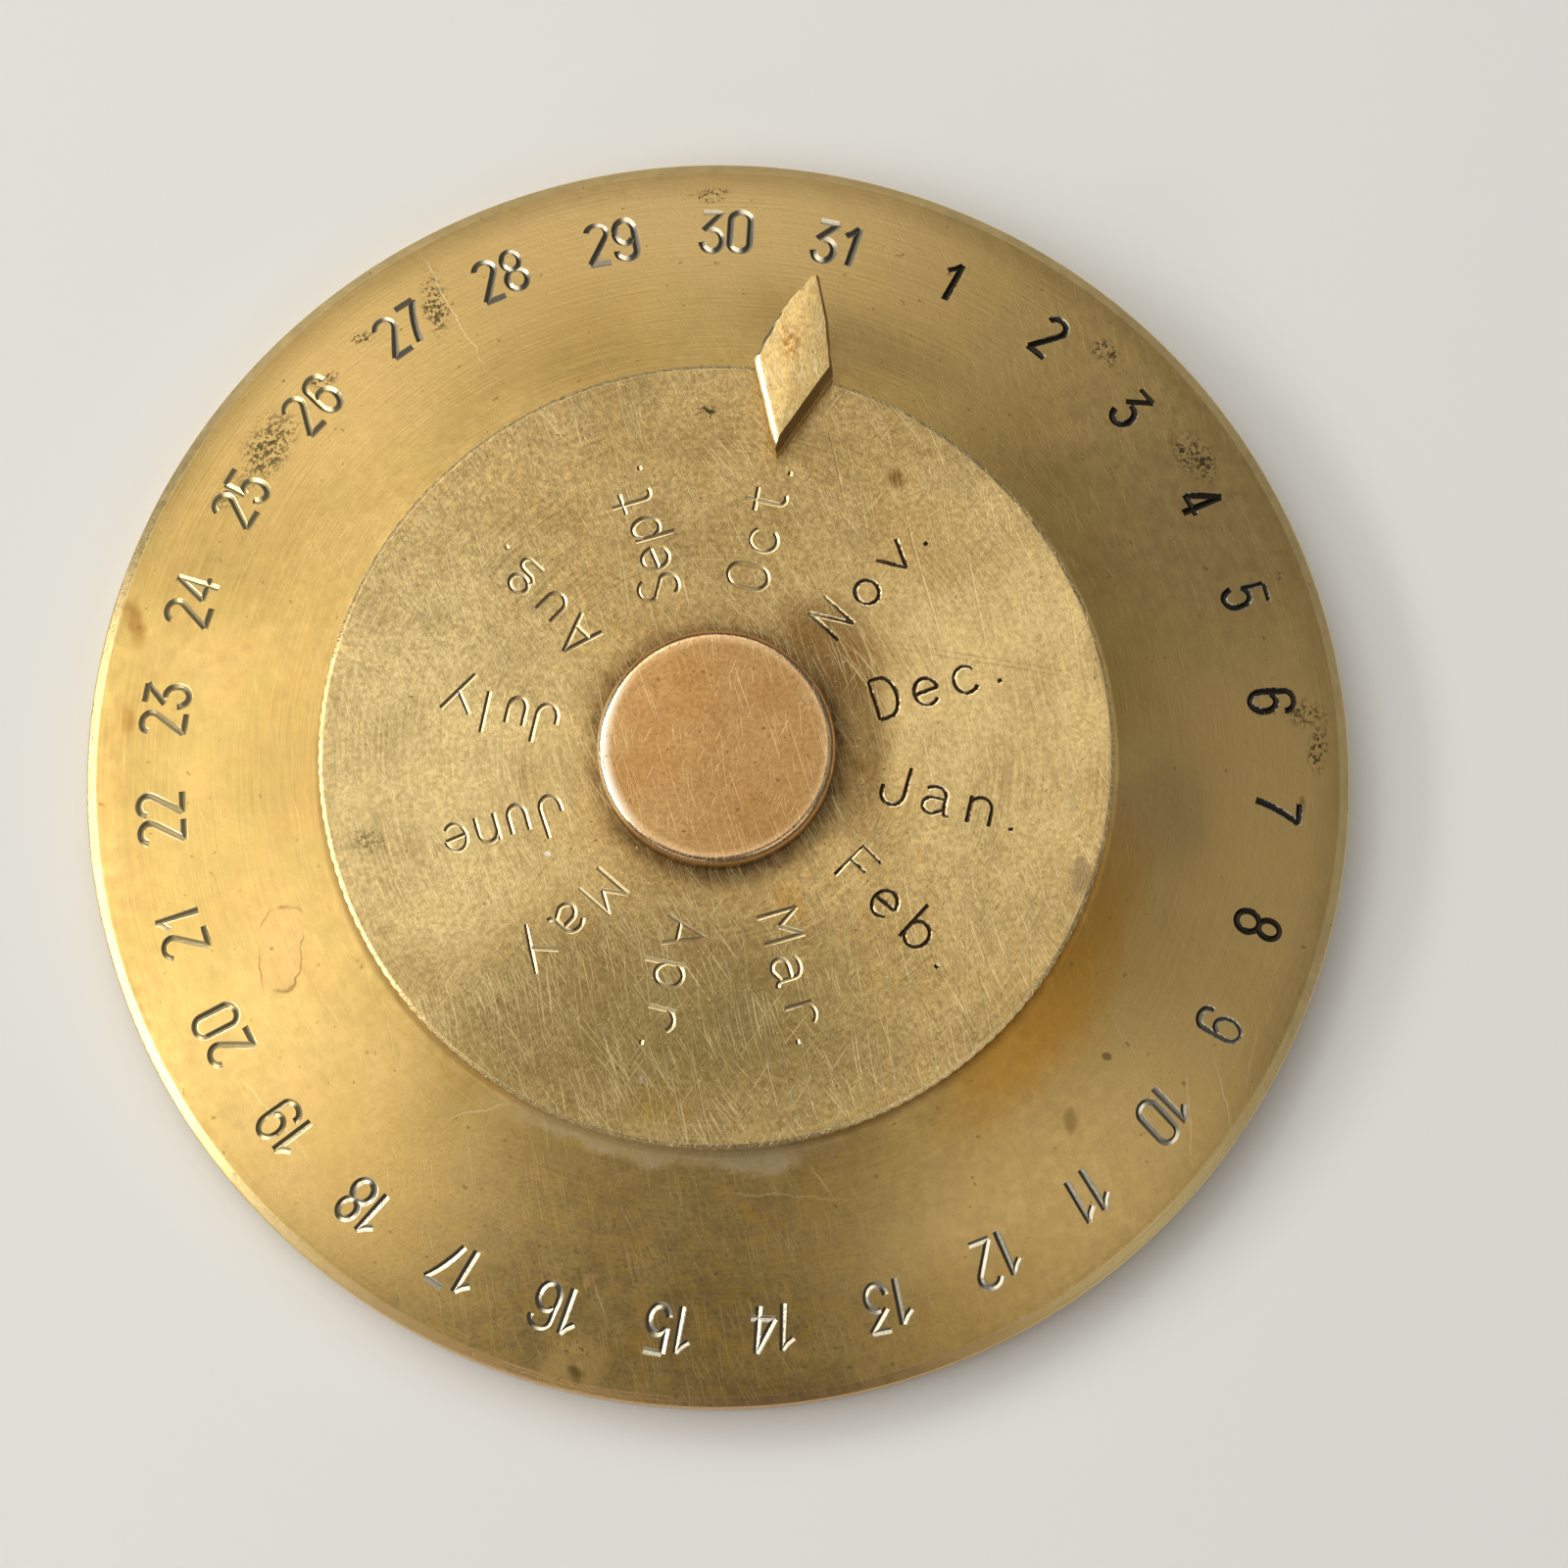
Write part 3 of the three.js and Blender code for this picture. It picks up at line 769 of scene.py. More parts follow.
# %% [markdown]
# ## The pointer
# The pointer is a lozenge sawn from thick brass and filed by hand. The half that points at the month
# has straight sides with a broad facet on each, and the half that points at the date is a little
# rounder, with a blunt tip and only narrow broken edges. Each facet is one cut by a plane with its own
# width and slope, as the file made it. The long edges are then divided so that a smooth noise can
# bend them slightly, most of all the one that was left rough. A cylinder clears the room above the
# disc's edge, which leaves a leg on the outer half.

# %% Sizes of the pointer
pointer_turn = math.radians(-11.6)
pointer_widest_radius = 36.95
pointer_inner_tip = (-0.2, 28.5)
pointer_left, pointer_right = (-4.1, 36.95), (3.52, 36.95)
rough_side = [(-2.87, 41.2), (-1.6, 43.93), (-0.42, 45.74)]
blunt_tip = [(-0.03, 46.15), (0.35, 45.97)]
filed_side = [(1.25, 43.8), (1.95, 42.1), (2.6, 40.0)]
pointer_outline = [pointer_inner_tip, pointer_left, *rough_side, *blunt_tip, *filed_side, pointer_right]
pointer_corner_softness, pointer_edge_softness = 0.1, 0.09
filing_cuts = 8
filing_wander, filing_length = 0.05, 1.3
filing_seed = 5
rough_edge_wander, rough_edge_length = 0.16, 0.75
rough_edge_reach = 1.2
rough_edge_part = (0.08, 0.95)
disc_room_radius = disc_radius + 0.3
disc_room_z = disc_top_z + 0.3
facets = [
    # corner where it starts and ends, width seen from above, slope in degrees
    (pointer_inner_tip, pointer_left, 0.62, 30),
    (pointer_left, rough_side[0], 0.32, 32),
    (rough_side[0], rough_side[1], 0.14, 45),
    (blunt_tip[1], filed_side[0], 0.26, 45),
    (filed_side[0], filed_side[1], 0.26, 45),
    (filed_side[1], filed_side[2], 0.24, 48),
    (filed_side[2], pointer_right, 0.26, 48),
    (pointer_right, pointer_inner_tip, 0.75, 44),
]

pointer_low_z, pointer_top_z = (corner.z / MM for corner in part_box("pointer"))
print("facets:", len(facets), "pointer from", round(pointer_low_z, 2), "to", round(pointer_top_z, 2), "mm")


# %% Helpers for filed pieces
def upright_block(corners, low_z, high_z):
    """A block with the outline of the corners, which are given in millimetres."""
    bm = bmesh.new()
    foot = bm.faces.new([bm.verts.new((x * MM, y * MM, low_z * MM)) for x, y in corners])
    risen = bmesh.ops.extrude_face_region(bm, geom=[foot], use_keep_orig=True)["geom"]
    bmesh.ops.translate(bm, vec=(0, 0, (high_z - low_z) * MM),
                        verts=[item for item in risen if isinstance(item, bmesh.types.BMVert)])
    bmesh.ops.recalc_face_normals(bm, faces=bm.faces)
    return bm


def soften(bm, edges, cut):
    bmesh.ops.bevel(bm, geom=edges, offset=cut * MM, segments=2, profile=0.5, affect="EDGES",
                    clamp_overlap=True, material=-1)


def file_facet(bm, start, end, width, slope):
    """Cuts one facet along a side. The side runs clockwise seen from above."""
    along = Vector((end[0] - start[0], end[1] - start[1], 0)).normalized()
    outward = Vector((-along.y, along.x, 0))
    slope = math.radians(slope)
    lip = Vector((start[0], start[1], pointer_top_z)) - outward * width
    result = bmesh.ops.bisect_plane(bm, geom=bm.verts[:] + bm.edges[:] + bm.faces[:], plane_co=lip * MM,
                                    plane_no=outward * math.sin(slope) + Vector((0, 0, math.cos(slope))),
                                    clear_outer=True)
    rim = [item for item in result["geom_cut"] if isinstance(item, bmesh.types.BMEdge)]
    bmesh.ops.holes_fill(bm, edges=rim)


def wander_as_filed(bm):
    """Bends the sides slightly, and most of all the long edge that was left rough. The seed makes
    the noise the same at each run."""
    noise.seed_set(filing_seed)
    left, tip = Vector(pointer_left), Vector(rough_side[-1])
    rough_way = (tip - left).normalized()
    for vert in bm.verts:
        spot = vert.co / MM
        wander = noise.noise_vector(spot / filing_length) * filing_wander
        off_edge = abs((spot.xy - left).cross(rough_way))
        along_edge = (spot.xy - left).dot(rough_way) / (tip - left).length
        if off_edge < rough_edge_reach and rough_edge_part[0] < along_edge < rough_edge_part[1]:
            wander += noise.noise_vector(spot.xy.to_3d() / rough_edge_length) * rough_edge_wander
        vert.co.xy += wander.xy * MM


def rise_of(edge):
    return abs(edge.verts[0].co.z - edge.verts[1].co.z) / MM


# %% Pointer
pointer_bm = upright_block(pointer_outline, pointer_low_z, pointer_top_z)
soften(pointer_bm, [edge for edge in pointer_bm.edges if rise_of(edge) > 1
                    and edge.calc_face_angle() > math.radians(30)], pointer_corner_softness)
for facet in facets:
    file_facet(pointer_bm, *facet)
long_edges = [edge for edge in pointer_bm.edges if edge.calc_length() > 2 * MM and rise_of(edge) < 1]
bmesh.ops.subdivide_edges(pointer_bm, edges=long_edges, cuts=filing_cuts)
wander_as_filed(pointer_bm)
soften(pointer_bm, [edge for edge in pointer_bm.edges
                    if min(vert.co.z for vert in edge.verts) > (pointer_low_z + 1) * MM
                    and math.radians(18) < edge.calc_face_angle() < math.radians(85)],
       pointer_edge_softness)
bmesh.ops.recalc_face_normals(pointer_bm, faces=pointer_bm.faces)
pointer = piece_from(pointer_bm, "lozenge_pointer", "pointer", "pointer")


def round_block(radius, low_z, high_z):
    bm = bmesh.new()
    bmesh.ops.create_cone(bm, cap_ends=True, segments=256, radius1=radius * MM, radius2=radius * MM,
                          depth=(high_z - low_z) * MM)
    bmesh.ops.translate(bm, vec=(0, 0, (low_z + high_z) / 2 * MM), verts=bm.verts)
    return placed("round_block", mesh_of(bm, "round_block"))


join_solid(pointer, round_block(disc_room_radius, pointer_low_z - 1, disc_room_z), "DIFFERENCE")
pointer.data.transform(Matrix.Rotation(pointer_turn, 4, "Z"))
print("pointer:", len(pointer.data.polygons), "faces, open edges:", open_edges(pointer.data))

# %% [markdown]
# ## The carrier
# The pointer stands on a thin plate under the disc, of which only the edge shows. It is turned like
# the rest, and an ear reaches out under the pointer's leg. The ear is a smaller lozenge, cut off
# round, and joined to the ring by a Boolean union.

# %% Pointer carrier
carrier_radius = disc_radius - 0.38
carrier_bore = 5.1
ear_share = 0.84
ear_radius = carrier_radius + 4.6
carrier_low_z, carrier_top_z = (corner.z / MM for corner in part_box("pointer_carrier"))

carrier = piece_from(spin_profile([
    (carrier_bore, carrier_low_z),
    (carrier_radius, carrier_low_z, 0.1),
    (carrier_radius, carrier_top_z, 0.1),
    (carrier_bore, carrier_top_z),
], turning_steps, rounding_segments=2), "turned_carrier", "pointer", "pointer_carrier")
ear_middle = Vector(((pointer_left[0] + pointer_right[0]) / 2, pointer_widest_radius))
ear_corners = [ear_middle + (Vector(corner) - ear_middle) * ear_share
               for corner in (pointer_inner_tip, pointer_left, blunt_tip[0], pointer_right)]
ear = placed("ear", mesh_of(upright_block(ear_corners, carrier_low_z, carrier_top_z), "ear"))
join_solid(ear, round_block(ear_radius, carrier_low_z - 1, carrier_top_z + 1), "INTERSECT")
ear.data.transform(Matrix.Rotation(pointer_turn, 4, "Z"))
ear.data.update()
join_solid(carrier, ear, "UNION")
print("carrier:", len(carrier.data.polygons), "faces, open edges:", open_edges(carrier.data))

# %% [markdown]
# ## Aged brass on the base
# Brass that was turned, polished and then handled for decades. The eye sees a warm satin metal whose
# tarnish drifts from gold to olive in soft clouds, with faint traces of the lathe round the axis,
# orange and grey stains, clusters of dark corrosion pits, and a pale dried residue against the disc.
# The stains are patches with a place and a size in millimetres, laid over the ground one by one.

# %% Brass of the base
base_stains = [
    # place, half size, turn, softness, strength, tint
    ((29, -25), (10, 4.5), 50, 0.6, 0.6, "#c88a20"),
    ((35, -14.5), (3.5, 9), -22, 0.6, 0.5, "#bd8728"),
    ((41.6, -4.5), (4.2, 4.5), 0, 0.7, 0.3, "#8a7060"),
    ((24, -50), (9, 4), 30, 0.7, 0.3, "#a37a2c"),
    ((-2, 54.5), (24, 6), 0, 0.7, 0.5, "#eeca88"),
    ((46, 22), (12, 7), -60, 0.7, 0.3, "#9a8058"),
    ((12, 41), (9, 3), -18, 0.6, 0.3, "#8f774c"),
    ((-55.6, 14.5), (1.0, 2.2), 10, 0.6, 0.6, "#8a5a20"),
    ((-56.1, 4.7), (0.8, 1.2), 0, 0.6, 0.5, "#94651f"),
    ((-13.2, -56.0), (3.0, 2.5), 0, 0.3, 0.7, "#dcb670"),
    ((-13.4, -57.0), (0.9, 0.7), 0, 0.5, 0.7, "#5f4d1c"),
    ((-10, -36), (4, 1.0), -10, 0.6, 0.3, "#d3ab5c"),
    ((2.9, -42.5), (0.5, 0.8), 30, 0.3, 0.5, "#d2a03a"),
    ((-11.5, -48.5), (0.8, 0.5), 20, 0.3, 0.6, "#d9a26c"),
    ((-32, -38), (8, 5), -45, 0.7, 0.25, "#caa24c"),
    ((55.4, -3.4), (0.4, 1.0), 0, 0.4, 0.5, "#6b4a20"),
    ((36.5, -27.5), (0.5, 0.5), 0, 0.3, 0.7, "#6f5524"),
    ((33.2, -33.5), (0.7, 0.8), 0, 0.5, 0.5, "#7a5f28"),
]
pit_clusters = [
    # place, half size, turn
    ((-42.9, 31.2), (1.9, 3.6), -30),
    ((-27.3, 45.4), (1.2, 3.2), 12),
    ((-47.2, 26.4), (1.2, 1.0), 40),
    ((-37.8, 38.0), (1.5, 0.9), 20),
    ((-33.8, 42.1), (1.0, 0.6), 20),
    ((45.4, 30.6), (2.6, 1.6), -50),
    ((37.2, 40.6), (1.4, 0.8), -40),
    ((55.7, 5.4), (1.6, 1.3), 0),
    ((57.0, 2.0), (0.8, 2.0), 0),
    ((-13.6, -54.4), (1.5, 0.5), -10),
    ((-1.0, 56.5), (1.6, 0.7), 0),
]
base_hairlines = [
    # place, half length, turn from upright, strength
    ((-25.8, 45.1), 6.8, 28, 0.7),
    ((-10.9, -50.2), 1.8, 19, 0.5),
    ((9.6, -39.4), 1.4, 38, 0.5),
    ((-22, -33), 3.0, 100, 0.35),
    ((-41.5, -33), 4.5, 40, 0.4),
    ((5.5, -40.9), 6.0, 88, 0.35),
    ((47.5, -31), 3.4, 14, 0.5),
    ((44.2, -33), 4.2, 4, 0.45),
    ((50.2, -27), 3.0, -12, 0.4),
]


def pit_grains(size, seed):
    return clouds(size, 0.50, 0.55, detail=3.0, roughness=0.7, seed=seed)


def hairline(start, place, half_length, turn, half_width=0.09):
    return patch(start, place, (half_width, half_length), turn, soft=0.6)


def hairlines_at(start, lines, half_width=0.09):
    return joined([times(hairline(start, *line, half_width), strength) for *line, strength in lines])


def stains_at(start, stains):
    return [(patch(start, *spot), strength, tint) for *spot, strength, tint in stains]


def aged_brass():
    """Satin and uneven, so that the light lies in soft clouds, with a brighter line along the rim."""
    plain = object_place()
    warped, slightly = wandering(3.0, 1.3), wandering(1.8, 0.5, seed=5)
    slow = clouds(15, 0.38, 0.62)
    olive = clouds(5, 0.42, 0.68, detail=3.0, seed=3)
    mottle = clouds(1.2, 0.34, 0.66, detail=3.0, roughness=0.65, seed=2)
    brushed = lathe_lines(0.25, 5, seed=1)
    tarnished = times(patch(warped, (-5, -50), (31, 13), 0, 0.6), 0.76)
    hazed = clouds(3.5, 0.45, 0.6, detail=4.0, roughness=0.65, seed=8)
    gritty = clouds(0.4, 0.45, 0.7, detail=3.0, roughness=0.7, seed=28)
    yellowed = clouds(2.0, 0.5, 0.64, detail=4.0, roughness=0.65, seed=29)
    rim_line = ring_of(base_radius - rim_facet_width, 61, 0.08)
    golden = joined([patch(plain, (-60, -3), (30, 40), 0, 0.4), patch(plain, (-6, -56), (26, 14), 0, 0.5)])
    pale = times(ring_of(45, 59.4, 6), summed(1, [(golden, -1)]))
    lemon = times(patch(plain, (-58, -6), (22, 34), 0, 0.5), clouds(6, 0.4, 0.6, detail=3.0, seed=27))
    ground = layered(colour("#d0ae6b"), [
        (slow, 0.5, "#bf9a55"),
        (olive, 0.3, "#b29c5c"),
        (mottle, 0.16, "#a18348"),
        (times(tarnished, mottle), 0.4, "#a88d58"),
        (times(tarnished, hazed), 0.5, "#88704a"),
        (times(tarnished, gritty), 0.6, "#5f4c2e"),
        (times(tarnished, yellowed), 0.7, "#cda24a"),
        (lemon, 0.35, "#c6ae62"),
        (times(brushed, slow), 0.3, "#927846"),
        (pale, 0.6, "#ebc680"),
        (rim_line, 0.8, "#fbdf9f"),
        (times(rim_line, patch(plain, (-5, -64), (36, 22), 0, 0.6)), 0.6, "#bd8444"),
    ])
    drop = patch(slightly, (-40.7, -17.6), (2.0, 3.9), -5, 0.12, boxy=True)
    broken = clouds(2, 0.4, 0.6, seed=26)
    old_ring = patch(warped, (-13.2, -56.4), (2.8, 2.4), 0, 0.15)
    beside_disc = times(ring_of(36, 38.4, 0.5, warped), patch(warped, (-7, -38), (15, 7), 0, 0.5), 0.8)
    residue = joined([beside_disc, patch(warped, (3.4, -37.5), (3.8, 1.5), 0, 0.4)])
    crusts = times(residue, clouds(0.7, 0.2, 0.55, detail=3.0, seed=9))
    clusters = joined([patch(warped, *cluster, 0.6) for cluster in pit_clusters])
    pits = times(clusters, pit_grains(0.45, 5))
    lone_pits = clouds(0.9, 0.74, 0.78, detail=1.0, seed=6)
    lines = hairlines_at(slightly, base_hairlines)
    straighter = wandering(45, 3.0, seed=11)
    fine = joined([scratches(0.1, length, turn, 0.03, seed, straighter)
                   for length, turn, seed in ((6, 10, 11), (4, 28, 12))])
    tint = layered(ground, stains_at(warped, base_stains) + [
        (drop, 0.2, "#cf9d70"),
        (times(border_of(drop), broken), 0.7, "#7d5f3a"),
        (border_of(old_ring), 0.35, "#d8b478"),
        (crusts, 0.75, "#d3c49e"),
        (pits, 0.85, "#3d372b"),
        (lone_pits, 0.5, "#7a5c2c"),
        (fine, 0.16, "#e6ca8c"),
        (times(fine, tarnished), 0.4, "#dcbc7c"),
        (lines, 1, "#f0d9a2"),
    ])
    roughness = (0.36, [(mottle, 0.08), (crusts, 0.3), (times(rim_line, golden), -0.12)])
    heights = [(brushed, 0.9), (mottle, 0.9), (gritty, 0.5), (pits, -2.0), (fine, -0.6), (lines, -1.5),
               (crusts, 2.0)]
    return surface(tint, roughness, heights, 0.006, brushing=0.45)


# %% [markdown]
# ## Struck grooves
# The grooves are old too. Polishing paste and dirt have dried black in those that a cloth seldom
# reached, while others were rubbed down to grey or bright metal. A mask that rises towards one side
# of the piece decides how much of each there is, and small crumbs break its border up. In every
# groove the walls that face away from the light are tinted darker, which is painted shade.

# %% Brass in the grooves
rubbed_west, rubbed_border = -38, 4
# The azimuth that groove walls face when they turn away from the light; those walls get painted shade.
unlit_way = 105
shade_from, shade_full = 0.05, 0.3
crumb_size, crumb_height = 0.45, 0.12
black_border, filled_border = 0.12, 0.04
lip_depth, lip_flatness = 0.06, 0.6
just_below = 0.012


def groove_finish(name, top_z, fall, filled_from, dirtiest_way, black_at, dirt, shade, bare, rubbed):
    """The old surface is at top_z minus fall times the radius, and dirt fills what lies deeper than
    filled_from. Dirtiest way is an azimuth, and black_at the cosine from it where the dirt begins.
    Walls that face away from the light get the shade tint, which is painted shade, and past
    rubbed_west the others were rubbed as golden as the ground. The lips of a struck groove are
    rounded: above lip_depth a bump lays the walls flatter, so that a lip which faces the light shines."""
    def grimy_brass():
        flat, radius = around_axis()
        east, height = (add("SeparateXYZ", {"Vector": object_place()}, output=axis) for axis in "XZ")
        outward = add("VectorMath", {0: flat}, operation="NORMALIZE")
        old_height = add("Math", {0: radius, 1: -fall, 2: top_z * MM}, operation="MULTIPLY_ADD")
        depth = summed(old_height, [(height, -1)])
        crumbs = clouds(crumb_size, 0.3, 0.7, detail=3.0, seed=3)
        deep = add("MapRange", {"Value": summed(depth, [(crumbs, crumb_height * MM)]),
                                "From Min": filled_from * MM,
                                "From Max": (filled_from + filled_border) * MM})
        share = add("VectorMath", {0: outward, 1: compass(dirtiest_way)}, output="Value",
                    operation="DOT_PRODUCT")
        black = add("MapRange", {"Value": share, "From Min": black_at - black_border,
                                 "From Max": black_at + black_border})
        filled = times(black, deep)
        ground_lean = add("VectorMath", {0: outward, "Scale": math.sin(math.atan(fall))}, operation="SCALE")
        # Painted shade: walls that lean towards the side away from the light are tinted dark.
        wall_lean = add("VectorMath", {0: add("TexCoord", output="Normal"), 1: ground_lean},
                        operation="SUBTRACT")
        facing_unlit_way = add("VectorMath", {0: wall_lean, 1: compass(unlit_way)}, output="Value",
                      operation="DOT_PRODUCT")
        shaded_walls = add("MapRange", {"Value": facing_unlit_way, "From Min": shade_from, "From Max": shade_full})
        golden = add("MapRange", {"Value": east, "From Min": (rubbed_west + rubbed_border) * MM,
                                  "From Max": rubbed_west * MM})
        lip = add("MapRange", {"Value": depth, "From Max": lip_depth * MM})
        tint = layered(colour(bare), [(golden, 1, rubbed), (shaded_walls, 0.9, shade), (filled, 0.95, dirt)])
        return surface(tint, (0.3, [(filled, 0.4), (shaded_walls, 0.2)]), [(crumbs, 0.2), (lip, lip_flatness)],
                       lip_depth)
    return finish_of(name, grimy_brass)


# The shade colours are painted shade on the walls away from the light; the dirt colours are real dirt.
date_grooves = groove_finish("punched_dates_dirt_and_painted_shade", cone_z(0), math.tan(cone_slope), 0.085,
                             dirtiest_way=70, black_at=0.6, dirt="#2a231c", shade="#4b4436",
                             bare="#ddd2b8", rubbed="#fbe6ac")
month_grooves = groove_finish("punched_months_dirt_and_painted_shade", disc_top_z, 0, 0.11,
                              dirtiest_way=93, black_at=0.5, dirt="#43301f", shade="#4c3520",
                              bare="#f9e2ae", rubbed="#f9e2ae")


def mark_grooves(piece, old_surface_z, inner, outer):
    """Gives the faces below the old surface the piece's second finish."""
    for face in piece.data.polygons:
        middle = face.center / MM
        radius = math.hypot(middle.x, middle.y)
        sunk = 0 < old_surface_z(radius) - just_below - middle.z < 1
        face.material_index = int(sunk and inner < radius < outer)
    return sum(face.material_index for face in piece.data.polygons)


dress(base, finish_of("aged_turned_brass", aged_brass), date_grooves)
print("groove faces on the base:", mark_grooves(base, cone_z, *date_band))

# %% [markdown]
# ## Worn brass on the disc
# The disc is handled every day, so it is brighter and full of scratches. Most run steeply from upper
# left to lower right. Below them lie the dense traces of the lathe, which spread the gloss outwards
# and inwards and so make the disc bright towards the light and away from it, and darker on the other
# two sides; a paler tint on those two bright sides adds a painted sheen, and tiny pale specks are
# painted glints. Brown tarnish has settled round the knob, out of reach of a cloth, and east of the
# knob a brown patch adds its painted shadow.

# %% Brass of the disc
disc_stains = [
    # place, half size, turn, softness, strength, tint
    ((16.7, 26.2), (0.8, 0.9), 20, 0.6, 0.75, "#845620"),
    ((19.7, 28.7), (0.6, 0.5), 0, 0.6, 0.5, "#8d6428"),
    ((6.6, -14.4), (1.6, 2.0), 30, 0.6, 0.6, "#d59c3c"),
    ((33.8, -11.8), (0.9, 1.7), -15, 0.4, 0.45, "#806a58"),
    ((-6.9, -30.4), (0.32, 0.3), 0, 0.3, 0.9, "#e8e2d2"),
    ((-15.6, -9.6), (0.3, 0.3), 0, 0.3, 0.9, "#fdf6e2"),
    ((-5.0, -33.0), (2.6, 1.6), 0, 0.7, 0.5, "#d2a238"),
    ((-3, -26), (20, 9), 0, 0.7, 0.65, "#8d7946"),
    ((19, 20), (5, 4), 20, 0.8, 0.25, "#c3924a"),
    ((13.1, -1.2), (0.7, 0.7), 0, 0.4, 0.6, "#7c5a2e"),
    # The next two brown patches, east of the knob, are partly tarnish and partly the knob's painted shadow.
    ((12.6, 1.2), (3.4, 8.5), 0, 0.35, 0.6, "#86602e"),
    ((10.8, 9.8), (5.5, 4.0), -42, 0.5, 0.65, "#865e2e"),
]
disc_hairlines = [
    # place, half length, turn from upright, strength
    ((-14.6, 4.6), 6.5, 24, 0.6),
    ((-26.2, 12.6), 4.0, 16, 0.6),
    ((-17.5, 9.8), 5.5, 33, 0.5),
    ((25.0, 14.0), 7.0, 12, 0.7),
    ((22.4, 4.0), 6.0, 10, 0.6),
    ((19.5, 17.0), 7.5, 15, 0.7),
    ((29.0, 20.5), 4.0, 30, 0.6),
    ((11.2, 27.0), 4.4, 16, 0.6),
    ((24.0, -18.0), 6.0, -4, 0.6),
    ((30.0, -20.0), 6.5, -2, 0.5),
    ((-30.8, 19.0), 2.6, 12, 0.6),
    ((-22.6, 27.5), 4.0, 28, 0.6),
]
scratch_layers = [
    # width, length, turn from upright, share, seed
    (0.13, 10, 17, 0.07, 21),
    (0.12, 13, 11, 0.06, 23),
    (0.12, 7, 26, 0.07, 22),
    (0.11, 6, 38, 0.05, 25),
    (0.11, 5, -35, 0.01, 24),
]


def worn_brass():
    """Bright, full of fine scratches and painted glints, with a painted sheen towards the light and away
    from it, and brushed so strongly that the light fans out.
    """
    plain = object_place()
    warped = wandering(2.0, 0.7)
    slow = clouds(9, 0.36, 0.64)
    grain = clouds(0.4, 0.34, 0.66, detail=2.0, roughness=0.65, seed=4)
    # Painted glints: tiny pale raised specks that stand in for sparkle.
    painted_glints = clouds(0.3, 0.70, 0.75, detail=1.0, seed=14)
    turned = times(clouds(7, 0.3, 0.7, detail=1.0, seed=18), lathe_lines(0.17, 3.5, seed=6, detail=2.0))
    bent = wandering(45, 3.0, seed=21)
    worn = clouds(9, 0.25, 0.5, detail=1.0, seed=19)
    marks = times(worn, joined([scratches(*layer, bent) for layer in scratch_layers]))
    lines = hairlines_at(bent, disc_hairlines, half_width=0.075)
    cut = joined([hairline(plain, place, 7.6, 80.5, 0.05) for place in ((24.8, 9.0), (26.5, 8.2))])
    bright_edge = ring_of(disc_radius - chamfer_width, 38, 0.08)
    # Painted sheen: a paler tint on the west side, towards the light, and on the east side, away from it.
    east_painted_sheen = times(patch(plain, (28, 8), (13, 22), 0, 0.6), 0.6)
    painted_sheen = joined([patch(plain, (-28, 0), (13, 20), 0, 0.6), east_painted_sheen])
    ground = layered(colour("#eecb88"), [
        (slow, 0.5, "#d8b26c"),
        (painted_sheen, 0.85, "#ffe4a2"),
        (grain, 0.4, "#a98849"),
        (turned, 0.55, "#876a3a"),
    ])
    halo = times(ring_of(5, 13.0, 2.4, warped), clouds(3, 0.2, 0.6, seed=8))
    foot = times(ring_of(5, 11.8, 0.5, warped), clouds(3.2, 0.4, 0.6, detail=3.0, seed=9))
    speck = times(patch(warped, (-0.8, 32.6), (1.1, 0.6), 0, 0.5), pit_grains(0.4, 15))
    pits = clouds(0.5, 0.75, 0.79, detail=1.0, seed=16)
    spots = times(patch(warped, (-32.4, -8.4), (1.6, 1.1), 20, 0.5), pit_grains(0.35, 17))
    tint = layered(ground, stains_at(warped, disc_stains) + [
        (halo, 0.5, "#9c743e"),
        (ring_of(5, 12.3, 0.9, warped), 0.45, "#7c5c38"),
        (foot, 0.6, "#54422c"),
        (joined([pits, spots]), 0.6, "#5d4826"),
        (cut, 0.4, "#7a6236"),
        (joined([times(marks, 0.85), lines]), 0.65, "#f8e0a2"),
        (painted_glints, 0.5, "#ffeeb8"),
        (speck, 0.9, "#2a221a"),
        (bright_edge, 0.7, "#ecd096"),
    ])
    heights = [(turned, 1.6), (grain, 1.4), (marks, -3.5), (lines, -4.0), (painted_glints, 2.5), (pits, -2.0)]
    return surface(tint, (0.42, [(grain, 0.12), (bright_edge, -0.25)]), heights, 0.006, brushing=0.93)


dress(month_disc, finish_of("worn_scratched_brass", worn_brass), month_grooves)
print("groove faces on the disc:",
      mark_grooves(month_disc, lambda radius: disc_top_z, knob_radius, middle_radius))

# %% [markdown]
# ## Bronze, filed brass and the rest
# The knob's bronze holds more copper and reads redder. The pointer was filed, not turned, so its grain
# runs straight. What lies inside is never seen unless the calendar is taken apart, and still gets the
# finish that it has on the bench: turned bronze, plain steel, vulcanised fibre and felt.

# %% Bronze of the knob
# How far below the top the knob's upright side is darkened, which is painted shade.
shade_side_from, shade_side_full = 0.4, 1.0


